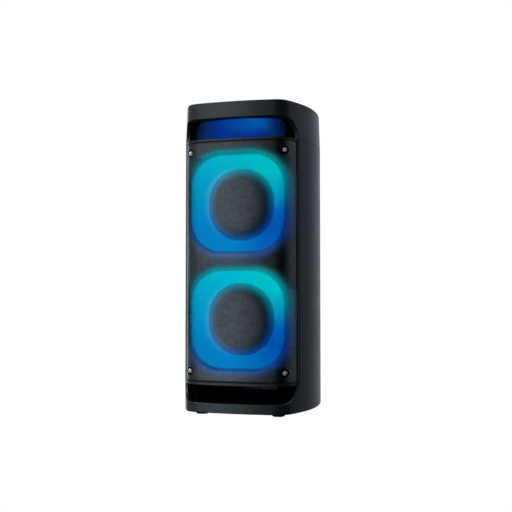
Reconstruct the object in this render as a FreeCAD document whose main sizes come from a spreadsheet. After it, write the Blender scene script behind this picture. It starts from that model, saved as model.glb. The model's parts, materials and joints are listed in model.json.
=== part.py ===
"""Tower party speaker: tapered oval cabinet, wrap-round front grille, two woofers
inside lit squircle rings, lit bay under the top cap, slot bass port, rear wheels.

Frame: +Z up, front faces -Y, origin on the floor at the centre of the footprint.
Millimetres.  "Depth" in the names is counted from the foremost point of the front.
"""
import FreeCAD, Part
import Sketcher
import math
import os
import sys

V = FreeCAD.Vector
doc = FreeCAD.newDocument("party_speaker")

# ------------------------------------------------------------------ sheet
sheet = doc.addObject("Spreadsheet::Sheet", "Dims")
sheet.Label = "Dims"
D = {}


def dims(**kw):
    """Puts each driving dimension in a cell of its own, with its alias beside it."""
    for k, v in kw.items():
        row = len(D) + 1
        sheet.set("A%d" % row, k)
        sheet.set("B%d" % row, repr(float(v)))
        sheet.setAlias("B%d" % row, k)
        D[k] = float(v)


# overall cabinet
dims(half_width=158.5, half_depth=187.5, body_bottom=7.8, base_bottom=9.0, seam_height=634.0,
     cap_top=718.8, wall=5.0, cap_draft=1.6)
# plan outline: bowed front, tight front corners, long side arcs, rear taper
dims(front_bow_r=777.0, front_bow_deg=6.8, front_corner_r=41.8, front_corner_deg=63.0,
     side_r=313.8, rear_side_r=420.0, rear_side_deg=108.0, rear_straight=45.0)
# front window that wraps round both corners
dims(win_depth=58.5, win_low=30.0, win_high=681.0, win_r_low=57.0, win_r_high=51.0)
# front bezel and grille
dims(bezel_inset=1.6, bezel_low=71.0, bezel_high=633.0, grille_low=79.0,
     grille_high=626.6, grille_inset=2.6, grille_thick=1.2, grille_back=51.5,
     deck_front=24.0, deck_back=28.5, deck_inset=8.0)
# woofers and their lit rings
dims(woofer_high=486.0, woofer_low=219.0, woofer_depth=57.6, ring_half_x=110.0,
     ring_half_z=111.0, ring_corner=74.0, ring_front=24.8, ring_in_x=79.3,
     ring_in_z=84.1, ring_back=56.8, ring_thick=3.0)
dims(wf_flange=88.0, wf_flange_thick=4.0, wf_throat=70.0, wf_neck=54.0,
     wf_bottom=53.0, cone_mouth=59.5, coil_r=16.5, magnet_r=50.0, magnet_thick=16.0)
dims(baffle_depth=61.6, baffle_thick=12.0, baffle_half=130.5, baffle_low=77.0,
     baffle_high=627.0)
# grille screws
dims(screw_x=111.7, screw_low=100.4, screw_high=604.6, screw_head=5.4, cup_r=9.6)
# light bay under the top cap
dims(bay_arc=200.0, bay_front=20.0, bay_half=110.5, bay_lens=3.0)
# port, base, feet
dims(port_half=92.0, port_low=36.0, port_high=66.0, port_wall=2.5, port_length=190.0)
dims(foot_r=14.5, foot_high=9.0)
# wheels
dims(wheel_r=31.0, wheel_y=155.0, wheel_z=35.0, wheel_in=82.0, wheel_out=109.0,
     axle_r=4.0, bevel_offset=125.5)
# controls
dims(panel_half=95.0, panel_y=-80.0, panel_wide=70.0, panel_thick=3.0, key_r=8.0,
     key_pitch=27.0, key_travel=0.75)
# rear panel
dims(tray_half=61.5, tray_low=103.0, tray_high=227.0, tray_face=165.0, knob_r=7.0)
doc.recompute()


probe = doc.addObject("Part::Box", "Probe")
known = {}


def val(e):
    """Number of a literal, or the value the sheet gives for an expression."""
    if not isinstance(e, str):
        return float(e)
    if e not in known:
        probe.setExpression("Length", "2000mm + (%s) * 1mm" % e)
        probe.recompute()
        known[e] = probe.Length.Value - 2000.0
    return known[e]


def bind(obj, **kw):
    """Sets plain numbers, and binds strings to the sheet as expressions."""
    for prop, v in kw.items():
        path = prop.replace("__", ".")
        if isinstance(v, str):
            obj.setExpression(path, v)
        elif "." in path:
            base = obj.Placement.Base
            setattr(base, path.split(".")[-1], float(v))
            obj.Placement = FreeCAD.Placement(base, obj.Placement.Rotation)
        else:
            setattr(obj, prop, v)
    return obj


def at(obj, x, y, z):
    return bind(obj, Placement__Base__x=x, Placement__Base__y=y, Placement__Base__z=z)


def box(name, x, y, z, dx, dy, dz):
    """Part::Box from its low corner and its three sizes, numbers or expressions."""
    o = doc.addObject("Part::Box", name)
    bind(o, Length=dx, Width=dy, Height=dz)
    return at(o, x, y, z)


def cyl(name, x, y, z, r, length, axis="z"):
    o = doc.addObject("Part::Cylinder", name)
    rot = {"z": FreeCAD.Rotation(), "x": FreeCAD.Rotation(V(0, 1, 0), 90),
           "y": FreeCAD.Rotation(V(1, 0, 0), -90)}[axis]
    o.Placement = FreeCAD.Placement(V(0, 0, 0), rot)
    bind(o, Radius=r, Height=length)
    return at(o, x, y, z)


def cut(name, base, *tools):
    o = doc.addObject("Part::Cut", name)
    o.Base = base
    o.Tool = tools[0] if len(tools) == 1 else fuse(name + "_tools", *tools)
    return o


def fuse(name, *shapes):
    o = doc.addObject("Part::MultiFuse", name)
    o.Shapes = list(shapes)
    o.Refine = True
    return o


def common(name, *shapes):
    o = doc.addObject("Part::MultiCommon", name)
    o.Shapes = list(shapes)
    return o


def mirror_x(name, src):
    o = doc.addObject("Part::Mirroring", name)
    o.Source = src
    o.Normal = V(1, 0, 0)
    return o


def feature(name, shape):
    o = doc.addObject("Part::Feature", name)
    o.Shape = shape
    return o


PARTS = {}


def part(node, obj):
    """Names a finished sub-part: its Label is the node's name."""
    obj.Label = node
    PARTS[node] = obj
    return obj


# ------------------------------------------------------------- plan outline
def plan_points(inset=0.0):
    """Tangent arcs of the right half, front centre to rear centre, moved in by inset."""
    segs = [(D["front_bow_r"], 0.0, D["front_bow_deg"]),
            (D["front_corner_r"], D["front_bow_deg"], D["front_corner_deg"]),
            (D["side_r"], D["front_corner_deg"], 90.0),
            (D["rear_side_r"], 90.0, D["rear_side_deg"])]
    x, y = 0.0, -D["half_depth"]
    out = []

    def shifted(px, py, deg):
        t = math.radians(deg)
        return V(px - inset * math.sin(t), py + inset * math.cos(t), 0)

    for r, a, b in segs:
        ra, rb = math.radians(a), math.radians(b)
        rm = (ra + rb) / 2
        mx, my = x + r * (math.sin(rm) - math.sin(ra)), y + r * (math.cos(ra) - math.cos(rm))
        ex, ey = x + r * (math.sin(rb) - math.sin(ra)), y + r * (math.cos(ra) - math.cos(rb))
        out.append((shifted(x, y, a), shifted(mx, my, math.degrees(rm)), shifted(ex, ey, b)))
        x, y = ex, ey
    t = math.radians(D["rear_side_deg"])
    L = D["rear_straight"]
    ex, ey = x + L * math.cos(t), y + L * math.sin(t)
    out.append((shifted(x, y, D["rear_side_deg"]), None, shifted(ex, ey, D["rear_side_deg"])))
    x, y = ex, ey
    r = (D["half_depth"] - y) / (1 + math.cos(t))
    tm = (t + math.pi) / 2
    mx, my = x + r * (math.sin(tm) - math.sin(t)), y + r * (math.cos(t) - math.cos(tm))
    ex, ey = x - r * math.sin(t), D["half_depth"]
    out.append((shifted(x, y, D["rear_side_deg"]), shifted(mx, my, math.degrees(tm)),
                shifted(ex, ey, 180)))
    return out


def plan_wire(inset=0.0, z=0.0):
    segs = plan_points(inset)

    def up(p, s=1):
        return V(p.x * s, p.y, z)

    edges = []
    a, m, b = segs[0]
    edges.append(Part.Arc(up(b, -1), up(a), up(b)).toShape())
    for a, m, b in segs[1:]:
        edges.append(Part.Arc(up(a), up(m), up(b)).toShape() if m else
                     Part.LineSegment(up(a), up(b)).toShape())
    last = segs[-1][2]
    edges.append(Part.LineSegment(up(last), up(last, -1)).toShape())
    for a, m, b in reversed(segs[1:]):
        edges.append(Part.Arc(up(b, -1), up(m, -1), up(a, -1)).toShape() if m else
                     Part.LineSegment(up(b, -1), up(a, -1)).toShape())
    return Part.Wire(edges)


profiles = {}


def plan_solid(name, inset, low, high):
    """Extrusion of the plan outline, moved in by inset, between two heights."""
    key = round(inset, 4)
    if key not in profiles:
        profiles[key] = feature("Plan_%d" % len(profiles), plan_wire(inset))
    e = doc.addObject("Part::Extrusion", name)
    e.Base = profiles[key]
    e.DirMode = "Custom"
    e.Dir = V(0, 0, 1)
    e.Solid = True
    bind(e, LengthFwd="%s" % high + " - (%s)" % low)
    return at(e, 0.0, 0.0, low if isinstance(low, str) else float(low))


def prism_x(name, pts, x0, x1):
    """Prism along X from points in the YZ plane."""
    w = Part.makePolygon([V(x0, y, z) for y, z in pts] + [V(x0, *pts[0])])
    return feature(name, Part.Face(w).extrude(V(x1 - x0, 0, 0)))


def front(depth):
    """Y of a depth behind the foremost point, as an expression."""
    return "%s - Dims.half_depth" % depth if isinstance(depth, (int, float)) else \
        "(%s) - Dims.half_depth" % depth


def Y(depth):
    return float(depth) - D["half_depth"]


# window that passes from one side, round the front, to the other side
win_box = box("WindowBlock", -220.0, -300.0, "Dims.win_low", 440.0,
              "Dims.win_depth - Dims.half_depth + 300", "Dims.win_high - Dims.win_low")
doc.recompute()
window = doc.addObject("Part::Fillet", "Window")
window.Base = win_box
ed = []
for i, e in enumerate(win_box.Shape.Edges):
    c = e.CenterOfMass
    if abs(c.x) < 1e-3 and c.y > -200:
        r = D["win_r_low"] if c.z < 300 else D["win_r_high"]
        ed.append((i + 1, r, r))
window.Edges = ed

bezel_env_box = box("BezelEnvelopeBlock", -219.0, -299.0, "Dims.win_low + 0.6", 438.0,
                    "Dims.win_depth - 0.6 - Dims.half_depth + 299", "Dims.win_high - Dims.win_low - 1.2")
doc.recompute()
bezel_env = doc.addObject("Part::Fillet", "BezelEnvelope")
bezel_env.Base = bezel_env_box
bezel_env.Edges = [(i + 1, r - 0.6, r - 0.6) for i, e in enumerate(bezel_env_box.Shape.Edges)
                   for c in [e.CenterOfMass] if abs(c.x) < 1e-3 and c.y > -200
                   for r in [D["win_r_low"] if c.z < 300 else D["win_r_high"]]]
doc.recompute()


def rounded(name, base, keep, radius):
    """Rounds every edge of base whose middle point passes the test keep."""
    doc.recompute()
    picked = []
    for i, e in enumerate(base.Shape.Edges):
        p = e.valueAt((e.FirstParameter + e.LastParameter) / 2)
        if keep(p, e):
            picked.append((i + 1, radius, radius))
    if not picked:
        sys.exit("%s found no edge to round" % name)
    o = doc.addObject("Part::Fillet", name)
    o.Base = base
    o.Edges = picked
    doc.recompute()
    if o.Shape.isNull() or not o.Shape.isValid() or not 0.9 < o.Shape.Volume / base.Shape.Volume < 1.0:
        sys.exit("%s failed on %d edges" % (name, len(picked)))
    return o


def on_outline(p, inset=0.0, slack=0.05):
    """Whether a point lies on the plan outline, seen from above."""
    w = plan_wire(inset, 0.0)
    return w.distToShape(Part.Vertex(p.x, p.y, 0.0))[0] < slack


def on_window(p):
    """Whether a point lies on the front window's own surface."""
    return window.Shape.Shells[0].distToShape(Part.Vertex(p))[0] < 0.02


# ------------------------------------------------------------- cabinet shell
shell_a = plan_solid("ShellOuter", 0.0, "Dims.body_bottom", "Dims.seam_height")
shell_b = plan_solid("ShellInner", D["wall"], 0.0, "Dims.seam_height + 10")
rear_hole = box("RearHole", -62.0, 150.0, 102.0, 124.0, 60.0, 126.0)
bo = D["bevel_offset"]
bevel = prism_x("RearBevel", [(bo - 20, -20), (260, -20), (260, 260 - bo)], -200, 200)
well_r = box("WellRight", 80.0, 112.0, -5.0, 36.0, 100.0, 80.0)
well_l = box("WellLeft", -116.0, 112.0, -5.0, 36.0, 100.0, 80.0)
SCREWS_BASE = [(-130.5, -118), (130.5, -118), (-147, 0), (147, 0), (-133.5, 92), (133.5, 92)]
SCREWS_CAP = [(-134.0, -104), (134.0, -104), (-147, 0), (147, 0), (-126.0, 118), (126.0, 118)]
shell_tube = cut("ShellTube", shell_a, shell_b)
lugs = [cyl("BaseBoss%d" % i, float(x), float(y), "Dims.base_bottom + 5", 6.5, 14.0) for i, (x, y) in enumerate(SCREWS_BASE)] + \
       [cyl("CapLug%d" % i, float(x), float(y), "Dims.seam_height - 6", 7.0, 6.0) for i, (x, y) in enumerate(SCREWS_CAP)]
lug_holes = [cyl("BaseBossHole%d" % i, float(x), float(y), "Dims.base_bottom - 1", 1.95, 16.5) for i, (x, y) in enumerate(SCREWS_BASE)] + \
            [cyl("CapLugHole%d" % i, float(x), float(y), "Dims.seam_height - 10", 2.2, 20.0) for i, (x, y) in enumerate(SCREWS_CAP)]
lugs_in = common("ShellLugs", fuse("ShellLugsAll", *lugs), plan_solid("LugEnvelope", 0.5, 0.0, "Dims.seam_height"))
shell_open = cut("ShellOpen", shell_tube, window)
shell_soft = rounded("ShellSoft", shell_open, lambda p, e: on_outline(p) and (
    on_window(p) or abs(p.z - D["body_bottom"]) < 1e-3), 1.8)
# shadow groove where the cap meets the shell
groove = cut("SeamGroove", plan_solid("SeamGrooveOut", -5.0, "Dims.seam_height - 0.9", "Dims.seam_height + 5"),
             plan_solid("SeamGrooveIn", 1.3, 600.0, 660.0))
shell = cut("CabinetShell", fuse("ShellWithLugs", shell_soft, lugs_in), rear_hole, bevel, well_r, well_l, groove, *lug_holes)
part("cabinet_shell", shell)

# ------------------------------------------------------------- top cap
cap_len = "Dims.cap_top - Dims.seam_height"
cap_profile = feature("CapPlan", plan_wire(0.0))
cap_a = doc.addObject("Part::Extrusion", "CapOuter")
cap_a.Base = cap_profile
cap_a.DirMode = "Custom"
cap_a.Dir = V(0, 0, 1)
cap_a.Solid = True
cap_a.TaperAngle = D["cap_draft"] * -1
bind(cap_a, LengthFwd=cap_len)
at(cap_a, 0.0, 0.0, "Dims.seam_height")
cap_b1 = plan_solid("CapHollowHigh", D["wall"] + 2.6, "Dims.win_high + 5", "Dims.cap_top - 4.8")
cap_b2_raw = plan_solid("CapHollowLow", D["wall"] + 2.6, "Dims.seam_height - 5", "Dims.win_high + 6")
cap_b2_box = box("CapHollowBox", -200.0, front("Dims.win_depth"), 600.0, 400.0, 320.0, 120.0)
cap_b2 = common("CapHollowRear", cap_b2_raw, cap_b2_box)
panel_seat = box("PanelSeat", "-Dims.panel_half - 0.3", "Dims.panel_y - Dims.panel_wide/2 - 0.3",
                 "Dims.cap_top - Dims.panel_thick", "2*Dims.panel_half + 0.6",
                 "Dims.panel_wide + 0.6", 20.0)
grip_hole = box("GripHole", -58.0, 150.0, 656.0, 116.0, 60.0, 36.0)
KEYS = ["power", "pairing", "volume_down", "volume_up", "play_pause", "light_mode"]
key_x = [(i - 2.5) * D["key_pitch"] for i in range(6)]
stem_holes = [cyl("StemHole%d" % i, "%s*Dims.key_pitch" % (i - 2.5), "Dims.panel_y", 700.0, 3.1, 30.0)
              for i in range(6)]
bay_room = common("BayRoom", plan_solid("BayRoomPlan", 9.0, "Dims.seam_height - 5", "Dims.win_high"),
                  box("BayRoomBox", -200.0, -260.0, 600.0, 400.0, front("Dims.win_depth + 4") + " + 260", 120.0))
cap_open = cut("CapOpen", cap_a, window)


def cap_edge(p, e):
    inset = (p.z - D["seam_height"]) * math.tan(math.radians(D["cap_draft"]))
    return on_outline(p, inset, 0.08) and (on_window(p) or abs(p.z - D["cap_top"]) < 1e-3)


cap_soft = rounded("CapSoft", cap_open, cap_edge, 1.8)
cap_1 = cut("CapShell", cap_soft, cap_b1, cap_b2, bay_room, panel_seat, grip_hole, *stem_holes)
posts = [cyl("Post%d" % i, sx * 86.0, sy - 80.0, 704.6, 4.0, 9.8)
         for i, (sx, sy) in enumerate([(-1, -29.0), (1, -29.0), (-1, 29.0), (1, 29.0)])]
bosses = common("CapBosses", fuse("CapBossesAll", *[cyl("CapBoss%d" % i, float(x), float(y), "Dims.seam_height", 7.5, 16.0)
                for i, (x, y) in enumerate(SCREWS_CAP)]), plan_solid("BossEnvelope", 2.0, 600.0, 700.0))
boss_holes = [cyl("CapBossHole%d" % i, float(x), float(y), "Dims.seam_height - 1", 1.95, 13.0)
              for i, (x, y) in enumerate(SCREWS_CAP)]
cap_2 = cut("CapBored", fuse("CapWithPosts", cap_1, bosses, *posts), *boss_holes)
doc.recompute()
part("top_cap", cap_2)

# handle cup in the rear of the top cap
cup = cut("HandleCup", box("CupOut", -61.0, 138.0, 653.0, 122.0, 41.9, 42.0),
          box("CupIn", -58.0, 141.0, 656.0, 116.0, 80.0, 36.0))
part("handle_cup", cup)

# ------------------------------------------------------------- base plate
base_a = plan_solid("BasePlate", D["wall"] + 0.3, "Dims.base_bottom", "Dims.base_bottom + 5")
base_cut = box("BaseRearCut", -200.0, 104.0, 0.0, 400.0, 200.0, 40.0)
base_holes = [cyl("BaseHole%d" % i, float(x), float(y), 5.0, 2.2, 20.0)
              for i, (x, y) in enumerate(SCREWS_BASE)]
part("base_plate", cut("BasePlateCut", base_a, base_cut, *base_holes))

# ------------------------------------------------------------- front bezel
bz_a = plan_solid("BezelOuter", D["bezel_inset"], "Dims.bezel_low", "Dims.bezel_high")
bz_1 = common("BezelBlock", bz_a, bezel_env)
# seat for the grille, round the front and both corners
seat_a = plan_solid("SeatOuter", -5.0, "Dims.grille_low - 0.4", "Dims.grille_high + 0.4")
seat_b = plan_solid("SeatInner", D["grille_inset"] + D["grille_thick"] + 1.2, 60.0, 640.0)
seat = cut("GrilleSeat", seat_a, seat_b)
# hollow behind the deck
hol_raw = plan_solid("BezelHollowPlan", D["deck_inset"], "Dims.bezel_low + 5", "Dims.bezel_high - 5")
hol_box = box("BezelHollowBox", -200.0, front("Dims.deck_back"), 0.0, 400.0, 200.0, 700.0)
hollow = common("BezelHollow", hol_raw, hol_box)
# shallow pocket in front of the deck, where the rings sit
pocket = box("BezelPocket", -116.0, -260.0, 112.0, 232.0, front("Dims.deck_front") + " + 260", 481.0)


def squircle(cx, cz, hx, hz, r, y):
    """Rounded rectangle wire in an XZ plane, starting at the right side's low tangent point."""
    pts = []
    k = r * math.sqrt(0.5)
    for sx, sz in ((1, 1), (-1, 1), (-1, -1), (1, -1)):
        ccx, ccz = cx + sx * (hx - r), cz + sz * (hz - r)
        a, b = V(cx + sx * hx, y, ccz), V(ccx, y, cz + sz * hz)
        m = V(ccx + sx * k, y, ccz + sz * k)
        pts.append((a, m, b) if sx * sz > 0 else (b, m, a))
    edges = []
    for i, (a, m, b) in enumerate(pts):
        edges.append(Part.Arc(a, m, b).toShape())
        n = pts[(i + 1) % 4][0]
        if (n - b).Length > 1e-6:
            edges.append(Part.LineSegment(b, n).toShape())
    return Part.Wire(edges)


def squircle_prism(name, cz, hx, hz, r, y0, y1):
    return feature(name, Part.Face(squircle(0, cz, hx, hz, r, y0)).extrude(V(0, y1 - y0, 0)))


centres = {"upper": D["woofer_high"], "lower": D["woofer_low"]}
apertures = [squircle_prism("Aperture_" + k, c, D["ring_half_x"] + 0.4, D["ring_half_z"] + 0.4,
                            D["ring_corner"], -200, Y(80)) for k, c in centres.items()]
tw_holes = [cyl("TweeterHole%d" % i, sx * 84.0, -200.0, 352.5, 19.0, 60.0 + 60.0, "y")
            for i, sx in enumerate((-1, 1))]
cup_holes = [cyl("CupHole%d" % i, sx + " * Dims.screw_x", -200.0, zz, "Dims.cup_r + 0.2", 120.0, "y")
             for i, (sx, zz) in enumerate([("-1", "Dims.screw_low"), ("1", "Dims.screw_low"),
                                           ("-1", "Dims.screw_high"), ("1", "Dims.screw_high")])]
ring_pockets = [squircle_prism("RingPocket_" + k, c, D["ring_half_x"] + 6, D["ring_half_z"] + 8,
                               D["ring_corner"] + 8, -260, Y(D["deck_front"])) for k, c in centres.items()]
bezel = cut("FrontBezel", bz_1, seat, hollow, pocket, *(ring_pockets + apertures + tw_holes + cup_holes))
part("front_bezel", bezel)

# ------------------------------------------------------------- grille
gr_a = plan_solid("GrilleOuter", D["grille_inset"], "Dims.grille_low", "Dims.grille_high")
gr_b = plan_solid("GrilleInner", D["grille_inset"] + D["grille_thick"], 0.0, "Dims.grille_high + 20")
gr_clip = box("GrilleClip", -200.0, front("Dims.grille_back"), 0.0, 400.0, 500.0, 700.0)
part("front_grille", cut("FrontGrille", gr_a, gr_b, gr_clip, *cup_holes))

# screw cups: dark dishes that hold the grille screws, cut flush with the bezel outline
cup_env = plan_solid("CupEnvelope", D["grille_inset"] - 0.6, 0.0, 700.0)
cups, heads = [], []
for i, (sx, zz) in enumerate([("-1", "Dims.screw_low"), ("1", "Dims.screw_low"),
                              ("-1", "Dims.screw_high"), ("1", "Dims.screw_high")]):
    cx = sx + " * Dims.screw_x"
    tube = cyl("Cup%d" % i, cx, front(8.0), zz, "Dims.cup_r", 20.0, "y")
    bore = cyl("CupBore%d" % i, cx, front(0.0), zz, "Dims.cup_r - 1.3", 23.0, "y")
    hole = cyl("CupShank%d" % i, cx, front(0.0), zz, 2.2, 60.0, "y")
    cups.append(common("CupTrim%d" % i, cut("CupBody%d" % i, tube, bore, hole), cup_env))
    # button-head screw: domed head with a hexagon socket, and its shank
    ball = doc.addObject("Part::Sphere", "Head%d" % i)
    bind(ball, Radius=7.0)
    at(ball, cx, front(24.8), zz)
    trim = cyl("HeadTrim%d" % i, cx, front(17.0), zz, "Dims.screw_head", 6.0, "y")
    dome = common("HeadDome%d" % i, ball, trim)
    shank = cyl("Shank%d" % i, cx, front(22.5), zz, 2.0, 14.0, "y")
    hexa = doc.addObject("Part::Prism", "Hex%d" % i)
    hexa.Polygon = 6
    hexa.Placement = FreeCAD.Placement(V(0, 0, 0), FreeCAD.Rotation(V(1, 0, 0), -90))
    bind(hexa, Circumradius=1.9, Height=3.0)
    at(hexa, cx, front(17.0), zz)
    heads.append(cut("Screw%d" % i, fuse("ScrewBody%d" % i, dome, shank), hexa))
doc.recompute()


def group(node, objs):
    """Separate identical solids kept together in one node."""
    o = doc.addObject("Part::Compound", node + "_group")
    o.Links = objs
    return part(node, o)


group("grille_screw_cups", cups)
group("grille_screws", heads)

# ------------------------------------------------------------- lit rings
for k, c in centres.items():
    y0, y1 = Y(D["ring_front"]), Y(D["ring_back"])
    tk = D["ring_thick"]
    outer = Part.makeLoft([squircle(0, c, D["ring_half_x"], D["ring_half_z"], D["ring_corner"], y0),
                           squircle(0, c, D["ring_in_x"] + tk, D["ring_in_z"] + tk, D["ring_in_x"], y1)],
                          True, True)
    inner = Part.makeLoft([squircle(0, c, D["ring_half_x"] - tk, D["ring_half_z"] - tk,
                                    D["ring_corner"] - tk, y0 - 0.01),
                           squircle(0, c, D["ring_in_x"], D["ring_in_z"], D["ring_in_x"] - tk, y1 + 0.01)],
                          True, True)
    part("ring_light_guide_" + k, feature("Ring_" + k, outer.cut(inner)))
    # LED board behind the outer rim, with its row of LEDs facing the guide
    b0, b1 = Y(46.0), Y(47.6)
    board = Part.Face(squircle(0, c, 118.0, 119.0, 80.0, b0)).extrude(V(0, b1 - b0, 0))
    inside = Part.Face(squircle(0, c, 103.0, 104.0, 68.0, b0 - 1)).extrude(V(0, 4, 0))
    board = board.cut(inside)
    leds = []
    for i in range(24):
        t = 2 * math.pi * i / 24
        ct, st = math.cos(t), math.sin(t)
        s = (abs(ct) ** 3.4 + abs(st) ** 3.4) ** (-1 / 3.4)
        leds.append(Part.makeBox(4, 1.4, 4, V(108.4 * s * ct - 2, b0 - 1.4, c + 109.4 * s * st - 2)))
    y_deck = Y(D["deck_back"])
    stands = [Part.makeCylinder(2.5, b0 - y_deck, V(sx * 40.0, y_deck, c + sz * 115.5), V(0, 1, 0))
              for sx in (-1, 1) for sz in (-1, 1)]
    part("ring_led_board_" + k, feature("RingBoard_" + k, board.fuse(leds + stands)))

# ------------------------------------------------------------- speaker baffle
bf = box("Baffle", "-Dims.baffle_half", front("Dims.baffle_depth"), "Dims.baffle_low",
         "2*Dims.baffle_half", "Dims.baffle_thick", "Dims.baffle_high - Dims.baffle_low")
bf_holes = [cyl("WooferHole_" + k, 0.0, -200.0, "Dims.woofer_" + ("high" if k == "upper" else "low"),
                "Dims.wf_flange - 10", 260.0, "y") for k in centres]
screw_at = [(83.0 * math.cos(math.radians(30 + 60 * i)), 83.0 * math.sin(math.radians(30 + 60 * i))) for i in range(6)]
bf_pilots = [cyl("BafflePilot_%s%d" % (k, i), x, -200.0, "Dims.woofer_%s + %.6f" % ("high" if k == "upper" else "low", dz), 1.55, 200.0, "y")
             for k in centres for i, (x, dz) in enumerate(screw_at)]
part("speaker_baffle", cut("SpeakerBaffle", bf, *(bf_holes + bf_pilots)))


# ------------------------------------------------------------- turned pieces
def crown(h0, r1, h1):
    """Middle point of the arc from (0, h0) to (r1, h1) whose centre is on the axis."""
    h0, r1, h1 = val(h0), val(r1), val(h1)
    d = h0 - h1
    rad = (r1 * r1 + d * d) / (2 * d)
    half = math.atan2(r1, h1 - h0 + rad) / 2 if rad > 0 else math.atan2(r1, h0 - rad - h1) / 2
    return abs(rad) * math.sin(half), h0 - rad + rad * math.cos(half)


def arc_through(a, m, b):
    """Anticlockwise arc through three points, and whether it runs from a to b."""
    d = 2 * (a.x * (m.y - b.y) + m.x * (b.y - a.y) + b.x * (a.y - m.y))
    qa, qm, qb = (p.x * p.x + p.y * p.y for p in (a, m, b))
    c = V((qa * (m.y - b.y) + qm * (b.y - a.y) + qb * (a.y - m.y)) / d,
          (qa * (b.x - m.x) + qm * (a.x - b.x) + qb * (m.x - a.x)) / d, 0)
    ta, tb = math.atan2(a.y - c.y, a.x - c.x), math.atan2(b.y - c.y, b.x - c.x)
    along = (m.x - a.x) * (b.y - m.y) - (m.y - a.y) * (b.x - m.x) > 0
    lo, hi = (ta, tb) if along else (tb, ta)
    if hi < lo:
        hi += 2 * math.pi
    return Part.ArcOfCircle(Part.Circle(c, V(0, 0, 1), (a - c).Length), lo, hi), along


def turned(node, pts, base, axis="front", cuts=None):
    """PartDesign body: a closed profile of (radius, height) revolved about its own Z,
    then stood with Z to the front, along X, or up. A point may be (r, h, mid_r, mid_h)
    when an arc through the middle point leads to it. Strings are bound to the sheet."""
    name = "".join(w.capitalize() for w in node.split("_"))
    body = doc.addObject("PartDesign::Body", name)
    sk = body.newObject("Sketcher::SketchObject", name + "Profile")
    plane = [f for f in body.Origin.OriginFeatures if f.Role == "XZ_Plane"][0]
    sk.AttachmentSupport = (plane, [""])
    sk.MapMode = "FlatFace"
    num = [(val(p[0]), val(p[1])) for p in pts]
    n = len(pts)
    first = []
    for i in range(n):
        j = (i + 1) % n
        a, b = V(num[i][0], num[i][1], 0), V(num[j][0], num[j][1], 0)
        if len(pts[j]) == 4:
            g, along = arc_through(a, V(val(pts[j][2]), val(pts[j][3]), 0), b)
        else:
            g, along = Part.LineSegment(a, b), True
        sk.addGeometry(g, False)
        first.append((1, 2) if along else (2, 1))

    def ends(i):
        return first[i]

    for i in range(n):
        j = (i + 1) % n
        sk.addConstraint(Sketcher.Constraint("Coincident", i, ends(i)[1], j, ends(j)[0]))
    for i in range(n):
        s = ends(i)[0]
        r, h = pts[i][0], pts[i][1]
        if abs(num[i][0]) < 1e-9:
            sk.addConstraint(Sketcher.Constraint("PointOnObject", i, s, -2))
        else:
            c = sk.addConstraint(Sketcher.Constraint("DistanceX", -1, 1, i, s, num[i][0]))
            if isinstance(r, str):
                sk.setExpression("Constraints[%d]" % c, r)
        if abs(num[i][1]) < 1e-9 and not isinstance(h, str):
            sk.addConstraint(Sketcher.Constraint("PointOnObject", i, s, -1))
        else:
            c = sk.addConstraint(Sketcher.Constraint("DistanceY", -1, 1, i, s, num[i][1]))
            if isinstance(h, str):
                sk.setExpression("Constraints[%d]" % c, h)
        j = (i + 1) % n
        if len(pts[j]) == 4 and min(abs(num[i][0]), abs(num[j][0])) < 1e-9:
            sk.addConstraint(Sketcher.Constraint("PointOnObject", i, 3, -2))
        elif len(pts[j]) == 4:
            sk.addConstraint(Sketcher.Constraint("Radius", i, sk.Geometry[i].Radius))
    rev = body.newObject("PartDesign::Revolution", name + "Turn")
    rev.Profile = sk
    rev.ReferenceAxis = (sk, ["V_Axis"])
    rev.Angle = 360.0
    body.Tip = rev
    if cuts:
        doc.recompute()
        cuts(body, name, rev)
    rot = {"front": FreeCAD.Rotation(V(1, 0, 0), 90), "rear": FreeCAD.Rotation(V(1, 0, 0), -90),
           "right": FreeCAD.Rotation(V(0, 1, 0), 90), "left": FreeCAD.Rotation(V(0, 1, 0), -90),
           "up": FreeCAD.Rotation()}[axis]
    body.Placement = FreeCAD.Placement(V(*[val(b) for b in base]), rot)
    for ax, b in zip("xyz", base):
        if isinstance(b, str):
            body.setExpression("Placement.Base." + ax, b)
    return body


def ring_of_holes(*rings):
    """Round pockets repeated round the axis, one polar pattern for each
    (count, pitch_radius, hole_radius, top, depth, first_angle)."""
    def make(body, name, rev):
        for n, (count, pitch_r, hole_r, top, depth, first) in enumerate(rings):
            tag = "%s%d" % (name, n)
            sk = body.newObject("Sketcher::SketchObject", tag + "HoleSketch")
            plane = [f for f in body.Origin.OriginFeatures if f.Role == "XY_Plane"][0]
            sk.AttachmentSupport = (plane, [""])
            sk.MapMode = "FlatFace"
            sk.AttachmentOffset = FreeCAD.Placement(V(0, 0, top), FreeCAD.Rotation(V(0, 0, 1), first))
            sk.addGeometry(Part.Circle(V(pitch_r, 0, 0), V(0, 0, 1), hole_r), False)
            sk.addConstraint(Sketcher.Constraint("PointOnObject", 0, 3, -1))
            sk.addConstraint(Sketcher.Constraint("DistanceX", -1, 1, 0, 3, pitch_r))
            sk.addConstraint(Sketcher.Constraint("Radius", 0, hole_r))
            before = body.Tip.Shape.Volume
            pk = body.newObject("PartDesign::Pocket", tag + "Hole")
            pk.Profile = sk
            pk.Type = 0
            pk.Length = depth
            doc.recompute()
            if pk.Shape.Volume > before - 1e-3:
                pk.Reversed = True
                doc.recompute()
            pat = body.newObject("PartDesign::PolarPattern", tag + "Holes")
            pat.Originals = [pk]
            pat.Axis = (sk, ["N_Axis"])
            pat.Angle = 360.0
            pat.Occurrences = count
            body.Tip = pat
            doc.recompute()
            if not pat.Shape.Volume < pk.Shape.Volume < before:
                sys.exit("a hole pattern of %s cut nothing" % name)
    return make


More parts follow.
